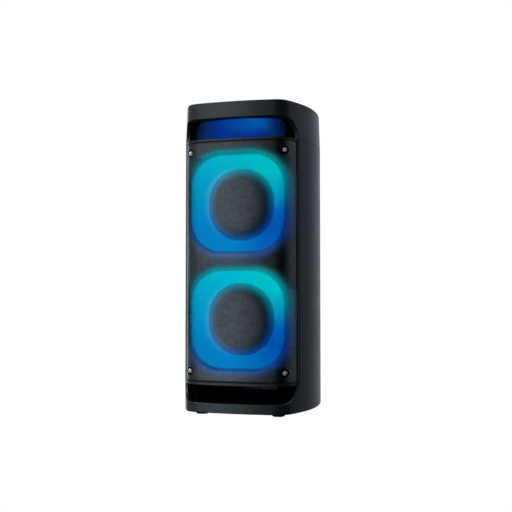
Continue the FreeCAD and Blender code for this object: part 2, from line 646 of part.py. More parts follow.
wy = front("Dims.woofer_depth")
for k in centres:
    wz = "Dims.woofer_" + ("high" if k == "upper" else "low")
    at_w = (0.0, wy, wz)
    # stamped frame: mounting flange, conical basket with windows, rear seat
    part("woofer_frame_" + k, turned("woofer_frame_" + k, [
        ("Dims.wf_throat", 0.0), ("Dims.wf_flange", 0.0), ("Dims.wf_flange", "-Dims.wf_flange_thick"),
        (76.5, "-Dims.wf_flange_thick"), ("Dims.wf_neck", -50.0), ("Dims.wf_neck", "-Dims.wf_bottom"),
        (30.0, "-Dims.wf_bottom"), (30.0, -50.0), (51.5, -50.0), (73.0, -6.0), ("Dims.wf_throat", -4.0)],
        at_w, "front", ring_of_holes((8, 62.0, 8.5, -8.0, 36.0, 0.0), (6, 83.0, 3.3, 0.0, 1.6, 30.0),
                              (6, 83.0, 1.6, 0.0, 6.0, 30.0))))
    # motor: top plate, ferrite ring and yoke with its pole, three separate solids
    plate = turned("woofer_top_plate_" + k, [
        (18.0, -53.1), (48.0, -53.1), (48.0, -58.0), (18.0, -58.0)], at_w)
    ferrite = turned("woofer_ferrite_" + k, [
        (25.0, -58.0), ("Dims.magnet_r", -58.0), ("Dims.magnet_r", "-58 - Dims.magnet_thick"),
        (25.0, "-58 - Dims.magnet_thick")], at_w)
    yoke = turned("woofer_yoke_" + k, [
        (0.0, -53.5), (14.6, -53.5), (14.6, "-58 - Dims.magnet_thick"), (48.0, "-58 - Dims.magnet_thick"),
        (48.0, -80.0), (44.0, -81.5), (0.0, -81.5)], at_w)
    group("woofer_motor_" + k, [plate, ferrite, yoke])
    # half-roll surround from the cone's edge to the frame
    part("woofer_surround_" + k, turned("woofer_surround_" + k, [
        (59.7, 0.6), (62.0, 0.6), (68.0, 0.6, 65.0, 2.9), (71.0, 0.6), (71.0, 1.4), (68.8, 1.4),
        (61.2, 1.4, 65.0, 4.5), (59.7, 1.4)], at_w))
    # corrugated spider between the voice coil and the basket's lower step
    part("woofer_spider_" + k, turned("woofer_spider_" + k, [
        (16.9, -36.6), (22.0, -36.6), (25.0, -35.0), (28.5, -38.2), (32.0, -35.0), (35.5, -38.2),
        (39.0, -35.0), (42.5, -38.2), (45.0, -36.6), (56.4, -36.6), (56.4, -37.4), (44.7, -37.4),
        (42.5, -39.2), (39.0, -36.0), (35.5, -39.2), (32.0, -36.0), (28.5, -39.2), (25.0, -36.0),
        (21.7, -37.4), (16.9, -37.4)], at_w))
    cone = turned("woofer_paper_" + k, [
        ("Dims.cone_mouth", 0.4), ("Dims.cone_mouth", 1.4), (57.6, 1.2), (40.0, -15.0, 50.6, -6.2),
        ("Dims.coil_r", -32.6), ("Dims.coil_r", -34.2), (39.6, -16.4), (57.4, 0.2, 50.2, -7.4)], at_w)
    cap = turned("woofer_cap_" + k, [
        (0.0, -17.4), (21.4, -26.6) + crown(-17.4, 21.4, -26.6), (21.4, -27.8),
        (0.0, -18.6) + crown(-18.6, 21.4, -27.8)], at_w)
    group("woofer_cone_" + k, [cone, cap])
    # former with its winding, which hangs in the motor's gap
    part("voice_coil_" + k, turned("voice_coil_" + k, [
        (16.0, -34.6), (16.4, -34.6), (16.4, -51.0), (17.2, -51.0), (17.2, -61.0), (16.0, -61.0)], at_w))

for k, sx in (("left", -1), ("right", 1)):
    # dome tweeter: faceplate with shallow horn, dome and rear can, bonded as one unit
    part("tweeter_" + k, turned("tweeter_" + k, [
        (0.0, 0.4), (9.5, -3.4) + crown(0.4, 9.5, -3.4), (11.0, -3.4), (20.0, 1.6), (23.0, 1.6), (23.0, 0.0),
        (18.6, 0.0), (18.6, -22.0), (0.0, -22.0)], (sx * 84.0, front("Dims.deck_front - 0.2"), 352.5)))

# ------------------------------------------------------------- light bay
R0 = D["bay_arc"]


def arc_y(x, depth, r):
    return Y(depth) + r - math.sqrt(r * r - x * x)


def arc_band(name, half, d0, d1, z0, z1):
    """Bowed strip between two depths, struck from one centre."""
    r0, r1 = R0, R0 - (d1 - d0)
    t = math.asin(half / r0)
    cy = Y(d0) + R0

    def p(r, a):
        return V(r * math.sin(a), cy - r * math.cos(a), z0)

    w = Part.Wire([Part.Arc(p(r0, -t), p(r0, 0), p(r0, t)).toShape(),
                   Part.LineSegment(p(r0, t), p(r1, t)).toShape(),
                   Part.Arc(p(r1, t), p(r1, 0), p(r1, -t)).toShape(),
                   Part.LineSegment(p(r1, -t), p(r0, -t)).toShape()])
    return feature(name, Part.Face(w).extrude(V(0, 0, z1 - z0)))


lens_raw = arc_band("LensBand", D["bay_half"], D["bay_front"], D["bay_front"] + D["bay_lens"],
                    D["bezel_high"] + 1.2, D["win_high"] - 0.4)
lens_mask = feature("LensMask", Part.Face(squircle(0, (D["bezel_high"] + 1.2 + D["win_high"] - 0.4) / 2,
                    D["bay_half"] - 0.5, (D["win_high"] - D["bezel_high"] - 1.6) / 2, 21.0, -200)).extrude(V(0, 120, 0)))
part("bay_light_diffuser", common("BayLens", lens_raw, lens_mask))


def bay_wall(name, d0, z0, z1, half_arc=112.0, r=200.0, end=(129.8, 61.0), t=2.4):
    """Dark rear wall of a bay: bowed in the middle, turned out to the cabinet's sides."""
    def y_at(x, rr, dd):
        return Y(dd) + rr - math.sqrt(rr * rr - x * x)
    f = [V(-end[0], Y(end[1]), z0), V(-half_arc, y_at(half_arc, r, d0), z0), V(0, Y(d0), z0),
         V(half_arc, y_at(half_arc, r, d0), z0), V(end[0], Y(end[1]), z0)]
    b = [V(p.x, p.y + t, z0) for p in f]
    edges = [Part.LineSegment(f[0], f[1]).toShape(), Part.Arc(f[1], f[2], f[3]).toShape(),
             Part.LineSegment(f[3], f[4]).toShape(), Part.LineSegment(f[4], b[4]).toShape(),
             Part.LineSegment(b[4], b[3]).toShape(), Part.Arc(b[3], b[2], b[1]).toShape(),
             Part.LineSegment(b[1], b[0]).toShape(), Part.LineSegment(b[0], f[0]).toShape()]
    return feature(name, Part.Face(Part.Wire(edges)).extrude(V(0, 0, z1 - z0)))


wall_top = bay_wall("BayWallBand", D["bay_front"] + D["bay_lens"] + 1.5, D["bezel_high"] + 0.2, D["win_high"] - 0.2)
wall_slot = box("BayWallSlot", -96.0, -200.0, 642.0, 192.0, 200.0, 30.0)
part("bay_back_wall", cut("BayWall", wall_top, wall_slot))
bay_pcb = box("BayPcb", -72.0, front(46.0), 637.0, 144.0, 1.6, 40.0)
bay_stands = [cyl("BayStand%d" % i, sx * 68.0, front(39.7), z, 1.8, 7.0, "y")
              for i, (sx, z) in enumerate([(-1, 639.4), (1, 639.4), (-1, 674.6), (1, 674.6)])]
bay_leds = [box("BayLed%d" % i, -62.5 + i * 17.3, front(44.6), 654.5, 5.0, 1.4, 5.0) for i in range(8)]
part("bay_led_board", fuse("BayLedBoard", bay_pcb, *(bay_leds + bay_stands)))

# ------------------------------------------------------------- bass port
floor_raw = plan_solid("PortFloorPlan", D["wall"] + 0.3, "Dims.win_low - 3", "Dims.win_low")
floor_box = box("PortFloorBox", -200.0, -260.0, 0.0, 400.0, front(64.0) + " + 260", 200.0)
port_floor = common("PortFloor", floor_raw, floor_box)
port_wall = bay_wall("PortWall", 30.0, D["win_low"] - 0.5, D["bezel_low"] - 0.2, 112.0, 260.0, (129.6, 61.0), 3.0)


def stadium(name, grow, y0, y1):
    """Flat-oval prism along Y for the port."""
    hz = (D["port_high"] - D["port_low"]) / 2 + grow
    c = (D["port_high"] + D["port_low"]) / 2
    hx = D["port_half"] + grow
    return feature(name, Part.Face(squircle(0, c, hx, hz, hz - 0.01, y0)).extrude(V(0, y1 - y0, 0)))


duct_out = stadium("DuctOut", D["port_wall"], Y(40), Y(40 + D["port_length"]))
c_port = (D["port_high"] + D["port_low"]) / 2


def mouth_wire(hx, hz, depth):
    return squircle(0, c_port, hx, hz, min(hx, hz) - 0.01, Y(depth))


flare_out = feature("FlareOut", Part.makeLoft([mouth_wire(104.0, 19.0, 30.0), mouth_wire(94.5, 17.5, 52.0)], True, True))
flare_in = feature("FlareIn", Part.makeLoft([mouth_wire(108.0, 18.6, 12.0), mouth_wire(97.0, 16.4, 40.0),
                                             mouth_wire(92.0, 15.0, 56.0)], True, True))
port = cut("PortDuct", fuse("PortBody", port_floor, port_wall, duct_out, flare_out),
           stadium("DuctIn", 0.0, Y(30), Y(60 + D["port_length"])), flare_in)
part("port_duct", port)

# ------------------------------------------------------------- feet
feet = []
for i, (fx, fy) in enumerate([(-91.0, -140.0), (91.0, -140.0), (-98.0, 86.0), (98.0, 86.0)]):
    feet.append(turned("rubber_foot_%d" % i, [
        (0.0, 0.0), ("Dims.foot_r - 1.5", 0.0), ("Dims.foot_r", 1.5), ("Dims.foot_r + 1", "Dims.foot_high"),
        (0.0, "Dims.foot_high")], (fx, fy, 0.0), "up"))
group("rubber_feet", feet)
cabinet_screws = []
for i, (x, y, z) in enumerate([(x, y, 9.0) for x, y in SCREWS_BASE] + [(x, y, D["seam_height"] - 6) for x, y in SCREWS_CAP]):
    cabinet_screws.append(turned("cabinet_screw_%d" % i, [
        (0.0, -1.6), (3.4, -1.2), (3.4, 0.0), (1.9, 0.0), (1.9, 13.0), (0.0, 14.5)],
        (float(x), float(y), z), "up"))
group("cabinet_screws", cabinet_screws)

# ------------------------------------------------------------- wheels
b2 = bo
carrier_raw = prism_x("CarrierBlock", [(105, 9.4), (b2 + 9.4 - 0.0, 9.4), (182.0, 182.0 - b2), (182.0, 78.0), (105, 78.0)], -150, 150)
carrier_env = plan_solid("CarrierEnvelope", D["wall"] + 0.3, 0.0, 120.0)
carrier_void = prism_x("CarrierVoid", [(109, 15.0), (b2 + 9.0, 15.0), (177.5, 57.5), (177.5, 90.0), (109, 90.0)], -74, 74)
cw = [cyl("CarrierWell%d" % i, x0, "Dims.wheel_y", "Dims.wheel_z", "Dims.wheel_r + 4", 60.0, "x")
      for i, x0 in enumerate((80.0, -140.0))]
cwb = [box("CarrierWellBox%d" % i, x0, "Dims.wheel_y", -10.0, 60.0, 80.0, "Dims.wheel_z + 10 + Dims.wheel_r + 4")
       for i, x0 in enumerate((80.0, -140.0))]
cwd = [box("CarrierWellLow%d" % i, x0, "Dims.wheel_y - Dims.wheel_r - 4", -10.0, 60.0, 80.0, "Dims.wheel_z + 10")
       for i, x0 in enumerate((80.0, -140.0))]
ax_hole = cyl("AxleHole", -150.0, "Dims.wheel_y", "Dims.wheel_z", "Dims.axle_r + 0.02", 300.0, "x")
carrier = cut("WheelCarrier", common("CarrierTrim", carrier_raw, carrier_env), carrier_void, *(cw + cwb + cwd + [ax_hole]))
part("wheel_carrier", carrier)
part("wheel_axle", turned("wheel_axle", [
    (0.0, -113.0), ("Dims.axle_r - 0.6", -113.0), ("Dims.axle_r", -112.4), ("Dims.axle_r", 112.4),
    ("Dims.axle_r - 0.6", 113.0), (0.0, 113.0)], (0.0, "Dims.wheel_y", "Dims.wheel_z"), "right"))
for k, a in (("right", "right"), ("left", "left")):
    # hard hub with a rubber tread, moulded together, on a running bore
    part("wheel_" + k, turned("wheel_" + k, [
        ("Dims.axle_r + 0.08", "Dims.wheel_in"), (10.0, "Dims.wheel_in"), (11.0, "Dims.wheel_in + 5"),
        (22.0, "Dims.wheel_in + 5"), (23.0, "Dims.wheel_in + 0.5"), (28.0, "Dims.wheel_in + 0.5"),
        ("Dims.wheel_r", "Dims.wheel_in + 3.5", 30.2, 83.3), ("Dims.wheel_r", "Dims.wheel_out - 3.5"),
        (28.0, "Dims.wheel_out - 0.5", 30.2, 107.7), (23.0, "Dims.wheel_out - 0.5"),
        (22.0, "Dims.wheel_out - 5"), (11.0, "Dims.wheel_out - 5"), (10.0, "Dims.wheel_out"),
        ("Dims.axle_r + 0.08", "Dims.wheel_out")], (0.0, "Dims.wheel_y", "Dims.wheel_z"), a,
        ring_of_holes((6, 16.5, 3.6, 110.0, 40.0, 0.0))))
caps = [turned("axle_cap_" + k, [
    ("Dims.axle_r", 109.5), (9.0, 109.5), (9.0, 111.0), (5.0, 114.2, 7.6, 113.4), (0.0, 114.2),
    (0.0, 113.1), ("Dims.axle_r", 113.1)], (0.0, "Dims.wheel_y", "Dims.wheel_z"), k) for k in ("right", "left")]
group("axle_caps", caps)

# ------------------------------------------------------------- top controls
panel_plate = box("PanelPlate", "-Dims.panel_half", "Dims.panel_y - Dims.panel_wide/2",
                  "Dims.cap_top - Dims.panel_thick", "2*Dims.panel_half", "Dims.panel_wide", "Dims.panel_thick")
doc.recompute()
pf = doc.addObject("Part::Fillet", "PanelRounded")
pf.Base = panel_plate
pf.Edges = [(i + 1, 8.0, 8.0) for i, e in enumerate(panel_plate.Shape.Edges)
            if abs(e.Vertexes[0].X - e.Vertexes[-1].X) < 1e-6 and abs(e.Vertexes[0].Y - e.Vertexes[-1].Y) < 1e-6]
key_holes = [cyl("KeyHole%d" % i, "%s*Dims.key_pitch" % (i - 2.5), "Dims.panel_y", 700.0, "Dims.key_r + 0.4", 40.0)
             for i in range(6)]
part("control_panel", cut("ControlPanel", pf, *key_holes))
for i, name in enumerate(KEYS):
    # key with a dished top, and the stem that reaches the switch on the board below
    part(name + "_key", turned(name + "_key", [
        (0.0, "Dims.cap_top + 0.8"), (5.6, "Dims.cap_top + 1.2") + crown("Dims.cap_top + 0.8", 5.6, "Dims.cap_top + 1.2"),
        ("Dims.key_r - 0.8", "Dims.cap_top + 1.2"), ("Dims.key_r", "Dims.cap_top + 0.4"),
        ("Dims.key_r", "Dims.cap_top - Dims.panel_thick + 0.8"), (2.5, "Dims.cap_top - Dims.panel_thick + 0.8"),
        (2.5, 709.4), (0.0, 709.4)], ("%s*Dims.key_pitch" % (i - 2.5), "Dims.panel_y", 0.0), "up"))
cb = box("ControlPcb", -92.0, -113.0, 703.0, 184.0, 66.0, 1.6)
switches = [box("Switch%d" % i, "%s*Dims.key_pitch - 3" % (i - 2.5), "Dims.panel_y - 3", 704.6, 6.0, 6.0, 3.9) for i in range(6)]
part("control_board", fuse("ControlBoard", cb, *switches))

# ------------------------------------------------------------- rear panel
flange = box("TrayFlange", -71.0, 178.9, 95.0, 142.0, 3.6, 140.0)
tray_o = box("TrayOut", "-Dims.tray_half", "Dims.tray_face - 4", "Dims.tray_low", "2*Dims.tray_half",
             "182.2 - Dims.tray_face + 4", "Dims.tray_high - Dims.tray_low")
tray_i = box("TrayIn", "-Dims.tray_half + 3", "Dims.tray_face", "Dims.tray_low + 3", "2*Dims.tray_half - 6", 60.0,
             "Dims.tray_high - Dims.tray_low - 6")
rib = box("TrayRib", -58.6, 160.0, 146.0, 117.2, 22.2, 4.0)
lug_a = box("LugLow", -60.4, 176.0, 146.0, 6.4, 10.8, 4.0)
lug_b = box("LugHigh", -60.4, 176.0, 224.0, 6.4, 10.8, 3.0)
HX, HY = -57.0, 184.6
pin_holes = [cyl("PinHole%d" % i, HX, HY, z, 1.06, 3.0 + dz) for i, (z, dz) in enumerate([(147.4, 3.0), (223.0, 2.4)])]
JACKS = [(-40.0, 205.0, 5.6), (-12.0, 205.0, 5.6), (12.0, 205.0, 4.1)]
jack_holes = [cyl("JackHole%d" % i, x, 150.0, z, r, 40.0, "y") for i, (x, z, r) in enumerate(JACKS)]
usb_hole = box("UsbHole", 28.4, 150.0, 201.2, 14.2, 40.0, 7.6)
ac_hole = box("AcHole", 12.0, 150.0, 112.0, 30.0, 40.0, 24.0)
knob_hole = cyl("KnobHole", -26.0, 150.0, 172.0, 3.6, 40.0, "y")
tray = cut("RearTray", fuse("TrayBody", cut("TrayShell", fuse("TrayBlock", flange, tray_o), tray_i), rib, lug_a, lug_b),
           *(pin_holes + jack_holes + [usb_hole, ac_hole, knob_hole]))
part("rear_panel", tray)

jacks = []
for i, (x, z, r) in enumerate(JACKS):
    bore = 3.25 if i < 2 else 1.85
    jacks.append(turned("audio_jack_%d" % i, [
        (bore, 1.6), (r + 1.4, 1.6), (r + 1.4, 0.1), (r - 0.1, 0.1), (r - 0.1, -26.0 if i < 2 else -14.0),
        (0.0, -26.0 if i < 2 else -14.0), (0.0, -24.0 if i < 2 else -12.5), (bore, -24.0 if i < 2 else -12.5)],
        (x, "Dims.tray_face", z), "rear"))
group("audio_jacks", jacks)
usb = cut("UsbPort", box("UsbOut", 28.6, 151.0, 201.4, 13.8, 14.6, 7.2), box("UsbIn", 29.2, 153.0, 202.0, 12.6, 40.0, 6.0))
usb2 = fuse("UsbWithTongue", usb, box("UsbTongue", 30.2, 152.0, 205.0, 10.6, 12.0, 1.8))
part("usb_port", usb2)
ac_o = fuse("AcBody", box("AcOut", 12.2, 143.0, 112.2, 29.6, 23.0, 23.6), box("AcLip", 9.0, "Dims.tray_face", 109.0, 36.0, 2.4, 30.0))
ac_i = box("AcIn", 14.6, 147.0, 114.6, 24.8, 60.0, 18.8)
ac_pins = [box("AcPin%d" % i, x, 145.0, z, 2.0, 17.0, 4.0) for i, (x, z) in enumerate([(19.0, 119.0), (33.0, 119.0), (26.0, 126.0)])]
part("ac_inlet", fuse("AcInlet", cut("AcShell", ac_o, ac_i), *ac_pins))


# knob: fluted grip with a pointer line, on its shaft
def knob_mark(body, name, rev):
    sk = body.newObject("Sketcher::SketchObject", name + "Mark")
    plane = [f for f in body.Origin.OriginFeatures if f.Role == "XY_Plane"][0]
    sk.AttachmentSupport = (plane, [""])
    sk.MapMode = "FlatFace"
    sk.AttachmentOffset = FreeCAD.Placement(V(0, 0, 12.5), FreeCAD.Rotation())
    pts = [(-0.6, -9.0), (0.6, -9.0), (0.6, -2.0), (-0.6, -2.0)]
    for i in range(4):
        a, b = pts[i], pts[(i + 1) % 4]
        sk.addGeometry(Part.LineSegment(V(a[0], a[1], 0), V(b[0], b[1], 0)), False)
    for i in range(4):
        sk.addConstraint(Sketcher.Constraint("Coincident", i, 2, (i + 1) % 4, 1))
        sk.addConstraint(Sketcher.Constraint("DistanceX", -1, 1, i, 1, pts[i][0]))
        sk.addConstraint(Sketcher.Constraint("DistanceY", -1, 1, i, 1, pts[i][1]))
    pk = body.newObject("PartDesign::Pocket", name + "Slot")
    pk.Profile = sk
    pk.Type = 0
    pk.Length = 1.3
    doc.recompute()
    if pk.Shape.Volume > rev.Shape.Volume - 1e-3:
        pk.Reversed = True
        doc.recompute()
    if not pk.Shape.Volume < rev.Shape.Volume:
        sys.exit("the knob's mark cut nothing")
    body.Tip = pk


part("mic_level_knob", turned("mic_level_knob", [
    (0.0, 12.0), ("Dims.knob_r - 1", 12.0), ("Dims.knob_r", 11.0), ("Dims.knob_r", 0.6), (3.0, 0.6), (3.0, -13.0), (0.0, -13.0)],
    (-26.0, "Dims.tray_face", 172.0), "rear", knob_mark))

jb = box("JackPcb", -56.0, 137.4, 163.0, 112.0, 1.6, 52.0)
pot = cyl("LevelPot", -26.0, 139.0, 172.0, 8.0, 22.0, "y")
usb_riser = box("UsbRiser", 29.0, 139.0, 201.6, 13.0, 12.0, 6.8)
pot_bore = cyl("LevelPotBore", -26.0, 150.0, 172.0, 3.06, 20.0, "y")
part("jack_board", cut("JackBoard", fuse("JackBoardBody", jb, pot, usb_riser), pot_bore))

# hinged cover over the jacks: plate, barrel edge and two end pins
cv_plate = box("CoverPlate", HX, 183.0, 150.8, 115.0, 3.2, 72.4)
cv_barrel = cyl("CoverBarrel", HX, HY, 150.8, 1.7, 72.4)
cv_pins = [cyl("CoverPin0", HX, HY, 147.8, 1.0, 4.0), cyl("CoverPin1", HX, HY, 222.0, 1.0, 3.6)]
cv_tab = cyl("CoverTab", 46.0, 181.6, 187.0, 2.4, 1.6, "y")
cv_scoop = cyl("CoverScoop", 62.0, 186.4, 187.0, 8.0, 10.0, "y")
cover = cut("PortCover", fuse("CoverBody", cv_plate, cv_barrel, cv_tab, *cv_pins), cv_scoop)
part("port_cover", cover)

# ------------------------------------------------------------- electronics
amp = box("AmpPcb", -70.0, 150.0, 430.0, 140.0, 1.6, 120.0)
amp_bits = [box("AmpChip%d" % i, -52.0 + 38.0 * i, 146.4, 452.0, 14.0, 3.7, 14.0) for i in range(3)] + \
           [cyl("AmpCap%d" % i, -55.0 + 22.0 * i, 136.0, 535.0, 6.0, 14.1, "y") for i in range(5)]
amp_posts = [cyl("AmpPost%d" % i, x, 151.5, z, 3.0, 31.0, "y") for i, (x, z) in
             enumerate([(-64.0, 436.0), (64.0, 436.0), (-64.0, 544.0), (64.0, 544.0)])]
part("amplifier_board", fuse("AmplifierBoard", amp, *(amp_bits + amp_posts)))
sink_base = box("SinkBase", -60.0, 138.0, 470.0, 120.0, 5.0, 44.0)
fins = [box("SinkFin%d" % i, -60.0 + i * 10.6, 112.0, 470.0, 2.2, 26.5, 44.0) for i in range(12)]
sink_legs = [box("SinkLeg%d" % i, x, 142.0, 474.0, 6.0, 7.8, 8.0) for i, x in enumerate((-58.0, 52.0))]
part("heat_sink", fuse("HeatSink", sink_base, *(fins + sink_legs)))
psu = box("PsuPcb", -70.0, 150.0, 262.0, 140.0, 1.6, 140.0)
psu_bits = [box("PsuTransformer", -60.0, 116.0, 330.0, 44.0, 34.1, 44.0), box("PsuCoil", 8.0, 128.0, 348.0, 24.0, 22.1, 24.0)] + \
           [cyl("PsuCap%d" % i, -48.0 + 30.0 * i, 118.0, 292.0, 11.0, 32.1, "y") for i in range(4)]
psu_posts = [cyl("PsuPost%d" % i, x, 151.5, z, 3.0, 31.0, "y") for i, (x, z) in
             enumerate([(-64.0, 268.0), (64.0, 268.0), (-64.0, 396.0), (64.0, 396.0)])]
part("power_board", fuse("PowerBoard", psu, *(psu_bits + psu_posts)))
bat = box("BatteryBlock", -75.0, 48.5, 14.0, 150.0, 50.0, 68.0)
doc.recompute()
bat_f = doc.addObject("Part::Fillet", "BatteryRounded")
bat_f.Base = bat
bat_f.Edges = [(i + 1, 4.0, 4.0) for i in range(12)]
part("battery_pack", bat_f)
strap_o = box("StrapOut", -77.6, 62.0, 14.0, 155.2, 24.0, 70.6)
strap_i = box("StrapIn", -75.4, 60.0, 10.0, 150.8, 30.0, 72.4)
strap_feet = [box("StrapFoot%d" % i, x, 62.0, 14.0, 14.0, 24.0, 2.2) for i, x in enumerate((-91.4, 77.4))]
part("battery_strap", fuse("BatteryStrap", cut("StrapShell", strap_o, strap_i), *strap_feet))


# ------------------------------------------------------------- wiring
def lead(points, r):
    """Wire along straight runs joined by tangent arcs, each as large as its runs allow."""
    pts = [V(*p) for p in points]
    edges, last = [], pts[0]
    radii = []
    for i in range(1, len(pts) - 1):
        a, b, c = pts[i - 1], pts[i], pts[i + 1]
        u, w = (a - b).normalize(), (c - b).normalize()
        turn = math.pi - u.getAngle(w)
        short = min((a - b).Length, (c - b).Length)
        rad = 0.45 * short / math.tan(turn / 2)
        d = 0.45 * short
        p, q = b + u * d, b + w * d
        bis = (u + w).normalize()
        mid = b + bis * (rad / math.cos(turn / 2) - rad)
        if (p - last).Length > 1e-6:
            edges.append(Part.LineSegment(last, p).toShape())
        edges.append(Part.Arc(p, mid, q).toShape())
        radii.append(round(rad, 1))
        last = q
    edges.append(Part.LineSegment(last, pts[-1]).toShape())
    path = Part.Wire(edges)
    d0 = (pts[1] - pts[0]).normalize()
    prof = Part.Wire(Part.Circle(pts[0], d0, r).toShape())
    s = path.makePipeShell([prof], True, False)
    want = math.pi * r * r * path.Length
    if abs(s.Volume - want) > 0.02 * want:
        sys.exit("a lead's volume is off")
    print("lead length %.0f, radii %s" % (path.Length, radii))
    return s


leads = []
for sx, (zb, zw) in ((-1, (500.0, 486.0)), (1, (440.0, 219.0))):
    x0 = 66.0 * sx
    leads.append((x0, zb, zw, sx))
up_lead = lead([(66.0, 149.9, 500.0), (66.0, 128.0, 500.0), (70.0, 92.0, 497.0), (72.0, 52.0, 492.0),
                (68.0, 8.0, 487.0), (62.0, -28.0, 486.0), (56.0, -62.0, 486.0)], 1.6)
lo_lead = lead([(-66.0, 149.9, 446.0), (-68.0, 130.0, 446.0), (-78.0, 100.0, 420.0), (-84.0, 72.0, 372.0),
                (-84.0, 48.0, 320.0), (-80.0, 22.0, 272.0), (-72.0, -14.0, 236.0), (-64.0, -44.0, 222.0),
                (-56.0, -72.0, 219.0)], 1.6)
group("speaker_leads", [feature("LeadUpper", up_lead), feature("LeadLower", lo_lead)])

# ------------------------------------------------------------- woofer screws
ws = []
for k in centres:
    for i, (x, dz) in enumerate(screw_at):
        wz = "Dims.woofer_%s + %.6f" % ("high" if k == "upper" else "low", dz)
        ws.append(turned("woofer_screw_%s_%d" % (k, i), [
            (0.0, -0.1), (3.2, -0.1), (3.2, -1.6), (1.5, -1.6), (1.5, -14.0), (0.0, -15.5)],
            (x, front("Dims.woofer_depth"), wz)))
group("woofer_screws", ws)

# ------------------------------------------------------------- checks and export
doc.removeObject(probe.Name)
doc.recompute()
bad = [o.Name for o in doc.Objects if any(s in ("Invalid", "Error") for s in o.State)]
if bad:
    sys.exit("these objects failed: %s" % bad)
os.makedirs("parts", exist_ok=True)
for f in os.listdir("parts"):
    if f.endswith(".step"):
        os.remove(os.path.join("parts", f))
for node, obj in PARTS.items():
    s = obj.Shape
    if s.isNull() or not s.isValid() or not s.Solids:
        sys.exit("%s has no valid solid" % node)
    Part.Compound(s.Solids).exportStep("parts/%s.step" % node) if len(s.Solids) > 1 else s.Solids[0].exportStep("parts/%s.step" % node)
    b = s.BoundBox
    print("%-26s solids %2d  vol %9.1f cm3  x %7.1f %7.1f  y %7.1f %7.1f  z %7.1f %7.1f" % (
        node, len(s.Solids), s.Volume / 1000, b.XMin, b.XMax, b.YMin, b.YMax, b.ZMin, b.ZMax))
print("nodes", len(PARTS))
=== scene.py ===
"""Looks of the party speaker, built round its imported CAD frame.

Everything is in metres, in the part's own frame: +Z up, the front faces -Y.
"""

import json
import math

import bmesh
import bpy
import numpy as np
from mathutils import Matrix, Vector, geometry

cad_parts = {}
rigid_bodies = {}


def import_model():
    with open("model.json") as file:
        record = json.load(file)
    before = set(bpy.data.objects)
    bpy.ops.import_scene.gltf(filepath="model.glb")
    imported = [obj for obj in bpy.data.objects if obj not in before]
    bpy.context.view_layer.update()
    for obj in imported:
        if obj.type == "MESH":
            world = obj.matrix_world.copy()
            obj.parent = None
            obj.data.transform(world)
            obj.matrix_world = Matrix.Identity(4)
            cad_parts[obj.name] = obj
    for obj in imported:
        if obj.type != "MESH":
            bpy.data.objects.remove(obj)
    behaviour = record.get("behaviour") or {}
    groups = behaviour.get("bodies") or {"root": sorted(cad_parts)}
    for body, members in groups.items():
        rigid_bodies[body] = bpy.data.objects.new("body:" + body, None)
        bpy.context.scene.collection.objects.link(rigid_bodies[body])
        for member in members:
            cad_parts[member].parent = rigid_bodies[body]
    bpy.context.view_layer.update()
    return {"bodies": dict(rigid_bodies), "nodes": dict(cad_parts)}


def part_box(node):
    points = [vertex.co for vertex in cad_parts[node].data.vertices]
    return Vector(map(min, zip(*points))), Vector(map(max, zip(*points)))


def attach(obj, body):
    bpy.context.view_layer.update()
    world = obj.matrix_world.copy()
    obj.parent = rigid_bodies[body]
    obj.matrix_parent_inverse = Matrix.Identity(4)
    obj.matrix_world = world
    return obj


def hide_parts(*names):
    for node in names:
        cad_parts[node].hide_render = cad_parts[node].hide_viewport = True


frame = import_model()
nodes, bodies = frame["nodes"], frame["bodies"]
scene = bpy.context.scene
MM = 0.001


# --------------------------------------------------------------------------- small helpers
def lin(r, g, b):
    """Linear colour of an 8-bit display colour."""
    def one(v):
        v /= 255.0
        return v / 12.92 if v <= 0.04045 else ((v + 0.055) / 1.055) ** 2.4
    return (one(r), one(g), one(b), 1.0)


def grey(v, tint=(1.0, 1.0, 1.0)):
    return (v * tint[0], v * tint[1], v * tint[2], 1.0)


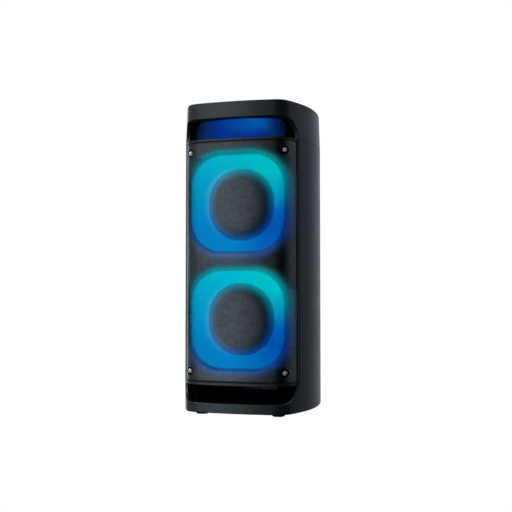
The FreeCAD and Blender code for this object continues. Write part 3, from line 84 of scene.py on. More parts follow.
class Shader:
    """A node material with one Principled shader and short names for the nodes it needs."""

    def __init__(self, name, **sockets):
        self.mat = bpy.data.materials.new(name)
        self.mat.use_nodes = True
        self.nt = self.mat.node_tree
        self.nt.nodes.clear()
        out = self.nt.nodes.new("ShaderNodeOutputMaterial")
        self.bsdf = self.nt.nodes.new("ShaderNodeBsdfPrincipled")
        self.nt.links.new(self.bsdf.outputs[0], out.inputs[0])
        tc = self.nt.nodes.new("ShaderNodeTexCoord")
        self.obj = tc.outputs["Object"]
        for k, v in sockets.items():
            self.bsdf.inputs[k.replace("_", " ")].default_value = v

    def new(self, kind, **props):
        n = self.nt.nodes.new(kind)
        for k, v in props.items():
            setattr(n, k, v)
        return n

    def put(self, socket, value):
        if isinstance(value, bpy.types.NodeSocket):
            self.nt.links.new(value, socket)
        else:
            socket.default_value = value

    def set(self, name, value):
        self.put(self.bsdf.inputs[name], value)
        return self

    def math(self, op, a, b=0.0, c=0.0, clamp=False):
        n = self.new("ShaderNodeMath", operation=op, use_clamp=clamp)
        for i, v in enumerate((a, b, c)):
            self.put(n.inputs[i], v)
        return n.outputs[0]

    def xyz(self):
        n = self.new("ShaderNodeSeparateXYZ")
        self.put(n.inputs[0], self.obj)
        return n.outputs[0], n.outputs[1], n.outputs[2]

    def vec(self, x, y, z):
        n = self.new("ShaderNodeCombineXYZ")
        for i, v in enumerate((x, y, z)):
            self.put(n.inputs[i], v)
        return n.outputs[0]

    def scaled(self, sx, sy, sz, rot=(0, 0, 0)):
        n = self.new("ShaderNodeMapping")
        self.put(n.inputs[0], self.obj)
        n.inputs["Scale"].default_value = (sx, sy, sz)
        n.inputs["Rotation"].default_value = rot
        return n.outputs[0]

    def noise(self, scale, detail=2.0, rough=0.5, vec=None, distortion=0.0):
        n = self.new("ShaderNodeTexNoise")
        self.put(n.inputs["Vector"], vec if vec is not None else self.obj)
        n.inputs["Scale"].default_value = scale
        n.inputs["Detail"].default_value = detail
        n.inputs["Roughness"].default_value = rough
        n.inputs["Distortion"].default_value = distortion
        return n.outputs["Fac"]

    def voronoi(self, scale, feature="F1", vec=None, rand=1.0):
        n = self.new("ShaderNodeTexVoronoi", feature=feature)
        self.put(n.inputs["Vector"], vec if vec is not None else self.obj)
        n.inputs["Scale"].default_value = scale
        n.inputs["Randomness"].default_value = rand
        return n.outputs["Distance"]

    def wave(self, scale, direction="X", distortion=0.0, detail=1.0, vec=None, profile="SIN"):
        n = self.new("ShaderNodeTexWave", wave_type="BANDS", bands_direction=direction, wave_profile=profile)
        self.put(n.inputs["Vector"], vec if vec is not None else self.obj)
        n.inputs["Scale"].default_value = scale
        n.inputs["Distortion"].default_value = distortion
        n.inputs["Detail"].default_value = detail
        return n.outputs["Fac"]

    def ramp(self, fac, stops, mode="LINEAR"):
        n = self.new("ShaderNodeValToRGB")
        self.put(n.inputs[0], fac)
        cr = n.color_ramp
        cr.interpolation = mode
        while len(cr.elements) < len(stops):
            cr.elements.new(1.0)
        for e, (p, c) in zip(cr.elements, stops):
            e.position = p
            e.color = c if len(c) == 4 else (*c, 1.0)
        return n.outputs[0]

    def remap(self, v, a, b, c=0.0, d=1.0, mode="LINEAR"):
        n = self.new("ShaderNodeMapRange", interpolation_type=mode)
        for i, w in enumerate((v, a, b, c, d)):
            self.put(n.inputs[i], w)
        return n.outputs[0]

    def mix(self, fac, a, b, blend="MIX"):
        n = self.new("ShaderNodeMix", data_type="RGBA", blend_type=blend)
        self.put(n.inputs["Factor"], fac)
        self.put(n.inputs[6], a)
        self.put(n.inputs[7], b)
        return n.outputs[2]

    def bump(self, height, distance, strength=1.0, under=None):
        n = self.new("ShaderNodeBump")
        n.inputs["Strength"].default_value = strength
        n.inputs["Distance"].default_value = distance
        self.put(n.inputs["Height"], height)
        if under is not None:
            self.put(n.inputs["Normal"], under)
        return n.outputs[0]


def tube_ring(b, path, r, n=8, closed=True):
    """A tube of radius r along points, joined into bmesh b."""
    pts = [Vector(p) for p in path]
    rings = []
    m = len(pts)
    for i, p in enumerate(pts):
        a = pts[i - 1] if (closed or i > 0) else p
        c = pts[(i + 1) % m] if (closed or i < m - 1) else p
        t = (c - a).normalized()
        u = t.orthogonal().normalized() if i == 0 else (rings_u - rings_u.dot(t) * t).normalized()
        rings_u = u
        w = t.cross(u)
        rings.append([b.verts.new(p + r * (math.cos(2 * math.pi * k / n) * u + math.sin(2 * math.pi * k / n) * w))
                      for k in range(n)])
    for i in range(m if closed else m - 1):
        q, s = rings[i], rings[(i + 1) % m]
        for k in range(n):
            b.faces.new((q[k], q[(k + 1) % n], s[(k + 1) % n], s[k]))
    if not closed:
        b.faces.new(rings[0][::-1])
        b.faces.new(rings[-1])


def obj_from(name, verts, faces, smooth=True, angle=35.0):
    me = bpy.data.meshes.new(name)
    me.from_pydata([tuple(v) for v in verts], [], [tuple(f) for f in faces])
    me.validate()
    o = bpy.data.objects.new(name, me)
    scene.collection.objects.link(o)
    if smooth:
        me.polygons.foreach_set("use_smooth", [True] * len(me.polygons))
        me.set_sharp_from_angle(angle=math.radians(angle))
    me.update()
    return o


def obj_from_bm(name, b, smooth=True, angle=35.0):
    bmesh.ops.recalc_face_normals(b, faces=b.faces)
    me = bpy.data.meshes.new(name)
    b.to_mesh(me)
    b.free()
    o = bpy.data.objects.new(name, me)
    scene.collection.objects.link(o)
    if smooth:
        me.polygons.foreach_set("use_smooth", [True] * len(me.polygons))
        me.set_sharp_from_angle(angle=math.radians(angle))
    return o


def lathe(b, profile, centre=(0, 0, 0), axis="z", n=64):
    """Closed solid of revolution from (radius, height) points, from the axis back to the axis."""
    c = Vector(centre)

    def at(r, h, k):
        t = 2 * math.pi * k / n
        x, y = r * math.cos(t), r * math.sin(t)
        return c + {"z": Vector((x, y, h)), "x": Vector((h, x, y)), "y": Vector((x, -h, y))}[axis]

    rings = []
    for r, h in profile:
        rings.append([b.verts.new(at(0, h, 0))] if r < 1e-9 else [b.verts.new(at(r, h, k)) for k in range(n)])
    for p, q in zip(rings, rings[1:]):
        for k in range(n):
            j = (k + 1) % n
            if len(p) == 1 and len(q) == 1:
                continue
            if len(p) == 1:
                b.faces.new((p[0], q[j], q[k]))
            elif len(q) == 1:
                b.faces.new((p[k], p[j], q[0]))
            else:
                b.faces.new((p[k], p[j], q[j], q[k]))


def plate(b, outline, z0, z1, place, holes=()):
    """Flat plate between heights z0 and z1 from a 2-D outline, put in space by place(u, v, h)."""
    loops = [list(outline)] + [list(h) for h in holes]
    pts, edges = [], []
    for lp in loops:
        s = len(pts)
        pts += [Vector((p[0], p[1])) for p in lp]
        edges += [(s + i, s + (i + 1) % len(lp)) for i in range(len(lp))]
    if holes:
        vs, _, fs, ov, _, _ = geometry.delaunay_2d_cdt(pts, edges, [], 0, 1e-9)

        def inside(c, lp):
            hit = False
            for i in range(len(lp)):
                (x1, y1), (x2, y2) = lp[i], lp[(i + 1) % len(lp)]
                if (y1 > c[1]) != (y2 > c[1]) and c[0] < (x2 - x1) * (c[1] - y1) / (y2 - y1) + x1:
                    hit = not hit
            return hit

        tris = []
        for f in fs:
            c = sum((vs[i] for i in f), Vector((0, 0))) / len(f)
            if inside(c, loops[0]) and not any(inside(c, h) for h in loops[1:]):
                tris.append(tuple(f))
        pts = vs
    else:
        tris = [tuple(t) for t in geometry.tessellate_polygon([[Vector((p.x, p.y, 0)) for p in pts]])]
    top = [b.verts.new(place(p[0], p[1], z1)) for p in pts]
    low = [b.verts.new(place(p[0], p[1], z0)) for p in pts]
    count = {}
    for t in tris:
        a = sum((pts[t[i]].x * pts[t[(i + 1) % 3]].y - pts[t[(i + 1) % 3]].x * pts[t[i]].y) for i in range(3))
        if a < 0:
            t = t[::-1]
        b.faces.new([top[i] for i in t])
        b.faces.new([low[i] for i in reversed(t)])
        for i in range(3):
            count[(t[i], t[(i + 1) % 3])] = True
    for (i, j) in list(count):
        if (j, i) not in count:
            b.faces.new((low[i], low[j], top[j], top[i]))


def arc_pts(r, a0, a1, n, cx=0.0, cy=0.0):
    return [(cx + r * math.cos(math.radians(a0 + (a1 - a0) * k / n)),
             cy + r * math.sin(math.radians(a0 + (a1 - a0) * k / n))) for k in range(n + 1)]


def band(r, w, a0, a1, n=20, cx=0.0, cy=0.0):
    """Outline of an arc-shaped stroke with round ends."""
    out = arc_pts(r + w / 2, a0, a1, n, cx, cy)
    e = (cx + r * math.cos(math.radians(a1)), cy + r * math.sin(math.radians(a1)))
    out += arc_pts(w / 2, a1, a1 + 180, 6, *e)[1:-1]
    out += arc_pts(r - w / 2, a1, a0, n, cx, cy)
    e = (cx + r * math.cos(math.radians(a0)), cy + r * math.sin(math.radians(a0)))
    out += arc_pts(w / 2, a0 + 180, a0 + 360, 6, *e)[1:-1]
    return out


def bar(x0, y0, x1, y1, w):
    """Outline of a straight stroke with round ends."""
    a = math.degrees(math.atan2(y1 - y0, x1 - x0))
    return arc_pts(w / 2, a - 90, a + 90, 6, x1, y1) + arc_pts(w / 2, a + 90, a + 270, 6, x0, y0)


def place_on_top(cx, cy, s=1.0):
    return lambda u, v, h: Vector(((cx + u * s) * MM, (cy + v * s) * MM, h * MM))


# --------------------------------------------------------------------------- the body's plan curve
BOW, CORNER, SIDE = (777.0, 0.0, 6.8), (41.8, 6.8, 63.0), (313.8, 63.0, 90.0)


def plan_at(deg, inset):
    """Point of the body's plan outline where its normal is turned deg from the front, in mm."""
    x, y = 0.0, -187.5
    for r, a, b in (BOW, CORNER, SIDE):
        t = min(deg, b)
        if deg > a or a == 0.0:
            x += r * (math.sin(math.radians(t)) - math.sin(math.radians(a)))
            y += r * (math.cos(math.radians(a)) - math.cos(math.radians(t)))
    t = math.radians(deg)
    return x - inset * math.sin(t), y + inset * math.cos(t)


def deg_of_arc(s, inset):
    """Normal angle at arc length s from the front centre, on the outline moved in by inset."""
    s0, sign = abs(s), 1.0 if s >= 0 else -1.0
    for r, a, b in (BOW, CORNER, SIDE):
        length = (r - inset) * math.radians(b - a)
        if s0 <= length or b == 90.0:
            return sign * (a + math.degrees(s0 / (r - inset)))
        s0 -= length


def plan_xy(s, inset, base):
    """Point at arc length s measured on the outline at inset base, moved to inset."""
    d = deg_of_arc(s, base)
    x, y = plan_at(abs(d), inset)
    return (x if d >= 0 else -x), y, d


# --------------------------------------------------------------------------- light field of the rings
RINGS = {"upper": 0.486, "lower": 0.219}


def squircle_distance(sh, x, z, cz, hx, hz, r):
    """Signed distance in metres from a rounded rectangle about (0, cz); negative inside."""
    ax = sh.math("SUBTRACT", sh.math("ABSOLUTE", x), hx - r)
    az = sh.math("SUBTRACT", sh.math("ABSOLUTE", sh.math("SUBTRACT", z, cz)), hz - r)
    mx, mz = sh.math("MAXIMUM", ax, 0.0), sh.math("MAXIMUM", az, 0.0)
    far = sh.math("SQRT", sh.math("ADD", sh.math("MULTIPLY", mx, mx), sh.math("MULTIPLY", mz, mz)))
    near = sh.math("MINIMUM", sh.math("MAXIMUM", ax, az), 0.0)
    return sh.math("SUBTRACT", sh.math("ADD", far, near), r)


def ring_colour(sh, x, z, cz):
    """Colour of a lit ring: aqua at its top, sky blue at the left, deep blue low on the right."""
    v = sh.remap(z, cz - 0.112, cz + 0.112, 0.0, 1.0)
    left = sh.ramp(v, [(0.0, lin(0, 120, 190)), (0.25, lin(0, 130, 200)), (0.55, lin(0, 152, 204)),
                       (0.85, lin(0, 173, 204)), (1.0, lin(0, 185, 203))])
    right = sh.ramp(v, [(0.0, lin(0, 94, 176)), (0.25, lin(0, 72, 162)), (0.42, lin(0, 90, 172)),
                        (0.6, lin(0, 146, 180)), (0.8, lin(0, 180, 187)), (1.0, lin(0, 188, 193))])
    u = sh.remap(x, -0.035, 0.075, 0.0, 1.0, "SMOOTHSTEP")
    return sh.mix(u, left, right)


def halo_colour(sh, x, z, cz):
    """Colour of the glow beside a ring: the ring's own, with less green towards its foot."""
    v = sh.remap(z, cz - 0.112, cz + 0.112, 0.0, 1.0)
    fade = sh.ramp(v, [(0.0, (0.0, 0.32, 0.44)), (0.5, (0.0, 0.36, 0.42)), (1.0, (0.0, 0.48, 0.47))])
    return sh.mix(1.0, ring_colour(sh, x, z, cz), fade, "MULTIPLY")


def ring_offsets(sh, x, z, cz):
    """Distances outside a ring's outer edge and inside its inner edge, both 0 or more."""
    out = sh.math("MAXIMUM", squircle_distance(sh, x, z, cz, 0.110, 0.111, 0.074), 0.0)
    ins = sh.math("MAXIMUM", sh.math("MULTIPLY", squircle_distance(sh, x, z, cz, 0.0793, 0.0841, 0.0763), -1.0), 0.0)
    return out, ins


def glow(sh, out_reach=0.0145, in_reach=0.0135, power=2.2):
    """Emission colour of the light that a ring spills on what stands beside it."""
    x, _, z = sh.xyz()
    total = None
    for cz in RINGS.values():
        out, ins = ring_offsets(sh, x, z, cz)
        reach = sh.remap(z, cz + 0.05, cz + 0.12, out_reach, out_reach - 0.0022)
        d = sh.math("ADD", sh.math("DIVIDE", out, reach), sh.math("DIVIDE", ins, in_reach))
        f = sh.math("EXPONENT", sh.math("MULTIPLY", sh.math("POWER", d, power), -1.0))
        f = sh.math("ADD", f, sh.math("MULTIPLY", sh.math("EXPONENT", sh.math("MULTIPLY", d, -5.0)), 0.35))
        c = sh.mix(1.0, halo_colour(sh, x, z, cz), sh.vec(f, f, f), "MULTIPLY")
        total = c if total is None else sh.mix(1.0, total, c, "ADD")
    return total


# --------------------------------------------------------------------------- materials
def plastic(name, colour, rough=0.42, grain=1500.0, depth=0.00002, mottling=0.10, scuff=0.0, spec=0.5):
    """Moulded plastic with a fine spark-eroded grain, cloudy tone and light rub marks."""
    sh = Shader(name)
    sh.bsdf.inputs["Specular IOR Level"].default_value = spec
    cloud = sh.noise(7.0, 4.0, 0.55)
    fine = sh.noise(320.0, 3.0, 0.6)
    c = sh.ramp(cloud, [(0.3, tuple(v * (1 - mottling) for v in colour[:3])),
                        (0.7, tuple(v * (1 + mottling) for v in colour[:3]))])
    c = sh.mix(sh.remap(fine, 0.35, 0.65, 0.0, 0.14), c, tuple(min(1, v * 1.6) for v in colour[:3]) + (1,))
    if scuff:
        _, _, z = sh.xyz()
        streak = sh.noise(22.0, 6.0, 0.7, vec=sh.scaled(1.0, 1.0, 6.0), distortion=0.6)
        low = sh.remap(z, 0.05, 0.0, 0.0, 1.0)
        m = sh.math("MULTIPLY", sh.remap(streak, 0.60, 0.74, 0.0, scuff), sh.math("ADD", 0.25, low), clamp=True)
        c = sh.mix(m, c, grey(0.11))
    sh.set("Base Color", c)
    sh.set("Roughness", sh.remap(sh.noise(18.0, 5.0, 0.6), 0.3, 0.7, rough - 0.035, rough + 0.035))
    sh.set("Normal", sh.bump(sh.voronoi(grain, "SMOOTH_F1"), depth, 0.5,
                             sh.bump(sh.noise(grain * 0.5, 3.0, 0.6), depth, 0.4)))
    return sh


def metal(name, colour, rough=0.35, brush=(1.0, 1.0, 1.0), scale=600.0, metallic=1.0, stain=0.25):
    """Bare or plated metal with brushing along the axis whose scale is the smallest."""
    sh = Shader(name)
    b = sh.noise(scale, 4.0, 0.65, vec=sh.scaled(*brush))
    s = sh.noise(30.0, 5.0, 0.6)
    c = sh.ramp(b, [(0.25, tuple(v * 0.78 for v in colour[:3])), (0.75, tuple(min(1, v * 1.12) for v in colour[:3]))])
    c = sh.mix(sh.remap(s, 0.55, 0.8, 0.0, stain), c, tuple(v * 0.45 for v in colour[:3]) + (1,))
    sh.set("Base Color", c)
    sh.set("Metallic", metallic)
    sh.set("Roughness", sh.remap(s, 0.3, 0.7, rough - 0.08, rough + 0.10))
    sh.set("Normal", sh.bump(b, 0.00002, 0.5))
    return sh


def rubber(name, colour, rough=0.75, grain=900.0):
    sh = Shader(name)
    dust = sh.noise(14.0, 6.0, 0.7)
    c = sh.ramp(dust, [(0.35, colour), (0.75, tuple(min(1, v * 1.9 + 0.004) for v in colour[:3]))])
    sh.set("Base Color", c)
    sh.bsdf.inputs["Specular IOR Level"].default_value = 0.35
    sh.set("Roughness", sh.remap(dust, 0.3, 0.7, rough - 0.08, min(1.0, rough + 0.08)))
    sh.set("Normal", sh.bump(sh.noise(grain, 4.0, 0.7), 0.00005, 0.6))
    return sh


MATS = {}

# cabinet and cap: the same dark satin grey, moulded with a fine grain
BODY = (0.0125, 0.0142, 0.0165)
MATS["cabinet_plastic"] = plastic("cabinet_grained_plastic", BODY, rough=0.32, scuff=0.5)
MATS["cap_plastic"] = plastic("cap_grained_plastic", BODY, rough=0.32)
for sh in (MATS["cabinet_plastic"], MATS["cap_plastic"]):
    sh.bsdf.inputs["Specular Tint"].default_value = (0.84, 0.94, 1.0, 1.0)
# inside the light bay the cap's moulding is made dull, and its colour near black as painted shade of the recess
sh = MATS["cap_plastic"]
x, y, z = sh.xyz()
bay = sh.math("MULTIPLY", sh.math("LESS_THAN", z, 0.6816), sh.math("LESS_THAN", sh.math("ABSOLUTE", x), 0.128))
bay = sh.math("MULTIPLY", bay, sh.math("LESS_THAN", y, -0.06))
old_c = sh.bsdf.inputs["Base Color"].links[0].from_socket
old_r = sh.bsdf.inputs["Roughness"].links[0].from_socket
sh.set("Base Color", sh.mix(bay, old_c, (0.0016, 0.0017, 0.0019, 1)))
sh.set("Roughness", sh.mix(bay, old_r, (0.85, 0.85, 0.85, 1)))
# port and bay parts: black plastic, made near black and dull; the near-black tone is painted shade of the recesses
MATS["inner_plastic"] = plastic("inner_black_plastic_and_recess_shade", (0.0012, 0.0012, 0.0013), rough=0.8, grain=900.0, spec=0.05)
sh = MATS["inner_plastic"]                          # the rear fittings keep a plain black plastic tone, lighter than the painted shade of the port and bay
rear = sh.math("GREATER_THAN", sh.xyz()[1], 0.12)
sh.set("Base Color", sh.mix(rear, sh.bsdf.inputs["Base Color"].links[0].from_socket,
                            sh.ramp(sh.noise(300.0, 3.0, 0.6), [(0.3, (0.0075, 0.0082, 0.0090)), (0.7, (0.0105, 0.0112, 0.0122))])))
sh.set("Roughness", sh.mix(rear, sh.bsdf.inputs["Roughness"].links[0].from_socket, (0.45, 0.45, 0.45, 1)))
sh = plastic("tweeter_black_plastic", BODY, rough=0.5)
# painted light: the glow that the rings spill on the tweeter, as emission
sh.set("Emission Color", glow(sh))
sh.bsdf.inputs["Emission Strength"].default_value = 2.6
MATS["tweeter_plastic"] = sh
MATS["inlet_plastic"] = plastic("inlet_black_plastic", (0.012, 0.012, 0.013), rough=0.35)
MATS["knob_plastic"] = plastic("knob_black_plastic", (0.016, 0.016, 0.017), rough=0.42, grain=700.0)

# front bezel: charcoal, with the light that the rings spill on it
sh = plastic("bezel_charcoal_plastic", BODY, rough=0.34)
sh.bsdf.inputs["Specular Tint"].default_value = (0.84, 0.94, 1.0, 1.0)
# painted shadow: the bezel is taken near black and dull in narrow bands along the grille's top and bottom edges and on
# its sides behind the grille's edge, for the shade in the gap round the grille
_, _, z = sh.xyz()
gap_shadow_mask = sh.math("LESS_THAN", sh.math("ABSOLUTE", sh.math("SUBTRACT", z, 0.6278)), 0.0012)
gap_shadow_mask = sh.math("MAXIMUM", gap_shadow_mask, sh.math("LESS_THAN", sh.math("ABSOLUTE", sh.math("SUBTRACT", z, 0.0777)), 0.0012))
gap_shadow_mask = sh.math("MAXIMUM", gap_shadow_mask, sh.math("GREATER_THAN", sh.xyz()[1], -0.1372))
old_c = sh.bsdf.inputs["Base Color"].links[0].from_socket
old_r = sh.bsdf.inputs["Roughness"].links[0].from_socket
sh.set("Base Color", sh.mix(gap_shadow_mask, old_c, (0.0012, 0.0013, 0.0015, 1)))
sh.set("Roughness", sh.mix(gap_shadow_mask, old_r, (0.95, 0.95, 0.95, 1)))
sh.set("Emission Color", glow(sh))
sh.set("Emission Strength", sh.remap(sh.math("ABSOLUTE", sh.xyz()[0]), 0.104, 0.122, 2.6, 4.2))
MATS["bezel_plastic"] = sh

# lit rings: smoked milky guide, lit from behind
sh = Shader("ring_guide_lit", Roughness=0.55)
sh.bsdf.inputs["Specular IOR Level"].default_value = 0.15
x, _, z = sh.xyz()
top = sh.math("GREATER_THAN", z, 0.3525)
c = sh.mix(top, ring_colour(sh, x, z, RINGS["lower"]), ring_colour(sh, x, z, RINGS["upper"]))
ripple = sh.noise(60.0, 3.0, 0.5)
c = sh.mix(sh.remap(ripple, 0.3, 0.7, 0.0, 0.08), c, lin(0, 120, 190))
sh.set("Base Color", sh.ramp(ripple, [(0.3, (0.003, 0.010, 0.014)), (0.7, (0.005, 0.014, 0.018))]))
sh.set("Emission Color", c)
sh.bsdf.inputs["Emission Strength"].default_value = 2.6
sh.set("Normal", sh.bump(sh.noise(400.0, 2.0, 0.5), 0.00003, 0.4))
MATS["ring_guide"] = sh

# light bay under the cap: a curved lens, brightest right of its centre. Its glow fades to near black at both ends,
# blackest at the top right: partly the lamp's own fall-off, partly painted shadow of the cap's lip.
sh = Shader("bay_lens_lit", Roughness=0.62)
sh.bsdf.inputs["Specular IOR Level"].default_value = 0.03
x, _, z = sh.xyz()
v = sh.remap(z, 0.634, 0.681, 0.0, 1.0)
u = sh.remap(x, -0.1105, 0.1105, 0.0, 1.0)
# the near-black ends of these ramps are partly painted shadow of the cap's lip
above = sh.ramp(u, [(0.0, lin(0, 5, 14)), (0.12, lin(3, 34, 78)), (0.32, lin(0, 50, 144)), (0.68, lin(0, 87, 171)),
                    (0.79, lin(0, 74, 160)), (0.89, lin(3, 34, 82)), (1.0, lin(0, 0, 2))])
below = sh.ramp(u, [(0.0, lin(2, 20, 48)), (0.12, lin(5, 36, 84)), (0.34, lin(0, 45, 145)), (0.64, lin(0, 47, 142)),
                    (0.88, lin(8, 39, 87)), (1.0, lin(0, 6, 20))])
tone = sh.mix(sh.remap(v, 0.12, 0.68, 0.0, 1.0, "SMOOTHSTEP"), below, above)
weave = sh.math("MULTIPLY", sh.wave(260.0, "X"), sh.wave(260.0, "Z"))
sh.set("Base Color", sh.ramp(sh.noise(90.0, 3.0, 0.5), [(0.3, (0.0015, 0.002, 0.006)), (0.7, (0.0025, 0.004, 0.010))]))
sh.set("Emission Color", tone)
level = sh.math("MULTIPLY", sh.remap(v, 0.0, 0.10, 0.75, 1.0), sh.remap(weave, 0.0, 1.0, 0.93, 1.08))
sh.set("Emission Strength", level)
sh.set("Normal", sh.bump(sh.noise(300.0, 2.0, 0.5), 0.00003, 0.4))
MATS["bay_lens"] = sh

# woven steel mesh with a dark satin coat; over and round the rings its colour is painted ring light, a near-black teal
# cast in place of the coat's grey
sh = Shader("grille_coated_wire")
fleck = sh.noise(900.0, 3.0, 0.6)
cloud = sh.noise(26.0, 5.0, 0.6)
c = sh.ramp(cloud, [(0.3, (0.52, 0.565, 0.62)), (0.7, (0.60, 0.655, 0.715))])
c = sh.mix(sh.remap(fleck, 0.4, 0.7, 0.0, 0.2), c, (0.80, 0.86, 0.93, 1))
x, y, z = sh.xyz()
# the coat is a fifth as bright as bare wire, and painted brighter towards either side where the mesh folds back: a
# painted highlight of the bend
coat_tone_and_bend_sheen = sh.remap(sh.math("ABSOLUTE", x), 0.108, 0.121, 0.185, 0.52, "SMOOTHSTEP")
c = sh.mix(1.0, c, sh.vec(coat_tone_and_bend_sheen, coat_tone_and_bend_sheen, coat_tone_and_bend_sheen), "MULTIPLY")
strand = sh.noise(1.0, 2.0, 0.6, vec=sh.scaled(230.0, 230.0, 360.0))
c = sh.mix(1.0, c, sh.ramp(strand, [(0.28, grey(0.62)), (0.5, grey(1.0)), (0.72, grey(1.42))]), "MULTIPLY")
# the folded rim is duller than the weave
rim = sh.math("MAXIMUM", sh.math("GREATER_THAN", sh.math("ABSOLUTE", sh.math("SUBTRACT", z, 0.3528)), 0.2704),
              sh.math("GREATER_THAN", y, -0.1397))
c = sh.mix(rim, c, sh.mix(1.0, c, grey(0.5), "MULTIPLY"))
# painted ring light: near and over each ring the wire colour is blended to a near-black teal, the rings' cast on the
# wires
dark = None
for cz in RINGS.values():
    out, ins = ring_offsets(sh, x, z, cz)
    reach = sh.remap(z, cz - 0.11, cz + 0.11, 0.0065, 0.0180)
    d = sh.math("ADD", sh.math("DIVIDE", out, reach), sh.math("DIVIDE", ins, 0.0200))
    f = sh.math("EXPONENT", sh.math("MULTIPLY", sh.math("POWER", d, 2.0), -1.0))
    dark = f if dark is None else sh.math("MAXIMUM", dark, f)
c = sh.mix(dark, c, (0.0012, 0.018, 0.026, 1))
sh.set("Base Color", c)
sh.set("Metallic", sh.remap(cloud, 0.2, 0.8, 0.94, 1.0))
sh.set("Roughness", sh.remap(cloud, 0.3, 0.7, 0.30, 0.38))
sh.set("Normal", sh.bump(sh.noise(1400.0, 3.0, 0.6), 0.00002, 0.6))
MATS["grille_mesh"] = sh

# loudspeaker parts
def cone_like(name, base, rough, spec=0.3):
    sh = Shader(name)
    x, _, z = sh.xyz()
    fibre = sh.noise(500.0, 5.0, 0.7, distortion=1.2)
    c = sh.ramp(fibre, [(0.3, tuple(v * 0.8 for v in base)), (0.7, tuple(v * 1.25 for v in base))])
    sh.set("Base Color", c)
    sh.bsdf.inputs["Specular IOR Level"].default_value = spec
    sh.set("Roughness", sh.remap(fibre, 0.3, 0.7, rough - 0.06, rough + 0.06))
    sh.set("Normal", sh.bump(fibre, 0.00006, 0.6))
    # painted light: the glow that the rings spill on the speaker parts, as emission
    sh.set("Emission Color", glow(sh))
    sh.bsdf.inputs["Emission Strength"].default_value = 2.6
    return sh


MATS["cone_paper"] = cone_like("cone_pressed_paper", (0.022, 0.024, 0.027), 0.7)
MATS["surround_rubber"] = cone_like("surround_rubber", (0.014, 0.015, 0.017), 0.6)
MATS["frame_metal"] = cone_like("basket_painted_steel", (0.016, 0.017, 0.019), 0.5, 0.4)
MATS["motor_iron"] = metal("motor_black_iron", (0.16, 0.16, 0.17), 0.45)
MATS["coil_copper"] = metal("coil_copper", (0.62, 0.30, 0.16), 0.3, (1, 0.05, 1), 900.0)
sh = Shader("spider_cloth")
w = sh.math("MULTIPLY", sh.wave(420.0, "X", 0.5), sh.wave(420.0, "Z", 0.5))
sh.set("Base Color", sh.ramp(w, [(0.1, (0.30, 0.20, 0.08)), (0.8, (0.52, 0.38, 0.18))]))
sh.set("Roughness", sh.remap(w, 0.0, 1.0, 0.75, 0.9))
sh.set("Normal", sh.bump(w, 0.00012, 0.7))
MATS["spider_cloth"] = sh
sh = Shader("baffle_fibreboard")
f = sh.noise(240.0, 6.0, 0.7, vec=sh.scaled(1, 4, 1))
sh.set("Base Color", sh.ramp(f, [(0.3, (0.018, 0.018, 0.019)), (0.72, (0.034, 0.033, 0.032))]))
sh.set("Roughness", sh.remap(f, 0.3, 0.7, 0.7, 0.9))
sh.set("Normal", sh.bump(f, 0.00012, 0.6))
MATS["baffle_board"] = sh

# fasteners and metalwork
MATS["screw_steel"] = metal("screw_plated_steel", (0.82, 0.85, 0.89), 0.5, (1, 1, 1), 700.0, metallic=0.35, stain=0.25)
MATS["dark_steel"] = metal("black_oxide_steel", (0.07, 0.07, 0.075), 0.4)
# painted light: the glow that the rings spill on these steel parts, as emission
MATS["dark_steel"].set("Emission Color", glow(MATS["dark_steel"]))
MATS["dark_steel"].bsdf.inputs["Emission Strength"].default_value = 2.6
MATS["jack_metal"] = metal("jack_nickel", (0.58, 0.57, 0.55), 0.25, (1, 0.1, 1), 800.0)
MATS["usb_steel"] = metal("usb_shell_steel", (0.66, 0.66, 0.68), 0.28, (0.1, 1, 1), 800.0)
MATS["sink_aluminium"] = metal("sink_extruded_aluminium", (0.50, 0.51, 0.53), 0.4, (1, 1, 0.05), 500.0)
MATS["strap_steel"] = metal("strap_zinc_steel", (0.46, 0.46, 0.47), 0.42, (0.1, 1, 1), 400.0)

# rubbers
MATS["foot_rubber"] = rubber("foot_rubber", (0.010, 0.010, 0.011), 0.72)
sh = rubber("wheel_rubber", (0.012, 0.012, 0.013), 0.62)
x, y, z = sh.xyz()
dy, dz = sh.math("SUBTRACT", y, 0.155), sh.math("SUBTRACT", z, 0.035)
r = sh.math("SQRT", sh.math("ADD", sh.math("MULTIPLY", dy, dy), sh.math("MULTIPLY", dz, dz)))
hub = sh.remap(r, 0.0208, 0.0204, 0.0, 1.0)
tread = sh.math("MULTIPLY", sh.remap(r, 0.0285, 0.0295, 0.0, 1.0),
                sh.math("SINE", sh.math("MULTIPLY", sh.math("ARCTAN2", dz, dy), 60.0)))
old_n = sh.bsdf.inputs["Normal"].links[0].from_socket
mould = sh.ramp(sh.noise(260.0, 3.0, 0.6), [(0.3, (0.024, 0.026, 0.029)), (0.7, (0.034, 0.036, 0.040))])
sh.set("Base Color", sh.mix(hub, sh.bsdf.inputs["Base Color"].links[0].from_socket, mould))
sh.set("Roughness", sh.mix(hub, sh.bsdf.inputs["Roughness"].links[0].from_socket, (0.36, 0.36, 0.36, 1)))
sh.set("Normal", sh.bump(sh.math("ADD", tread, sh.math("MULTIPLY", hub, -1.2)), 0.0006, 0.8, old_n))
MATS["wheel_rubber"] = sh
MATS["cover_rubber"] = rubber("cover_rubber", (0.014, 0.015, 0.016), 0.66, 1200.0)
MATS["key_rubber"] = rubber("key_rubber", (0.020, 0.021, 0.023), 0.6, 1300.0)
MATS["lead_sheath"] = rubber("lead_sheath", (0.020, 0.020, 0.022), 0.5)

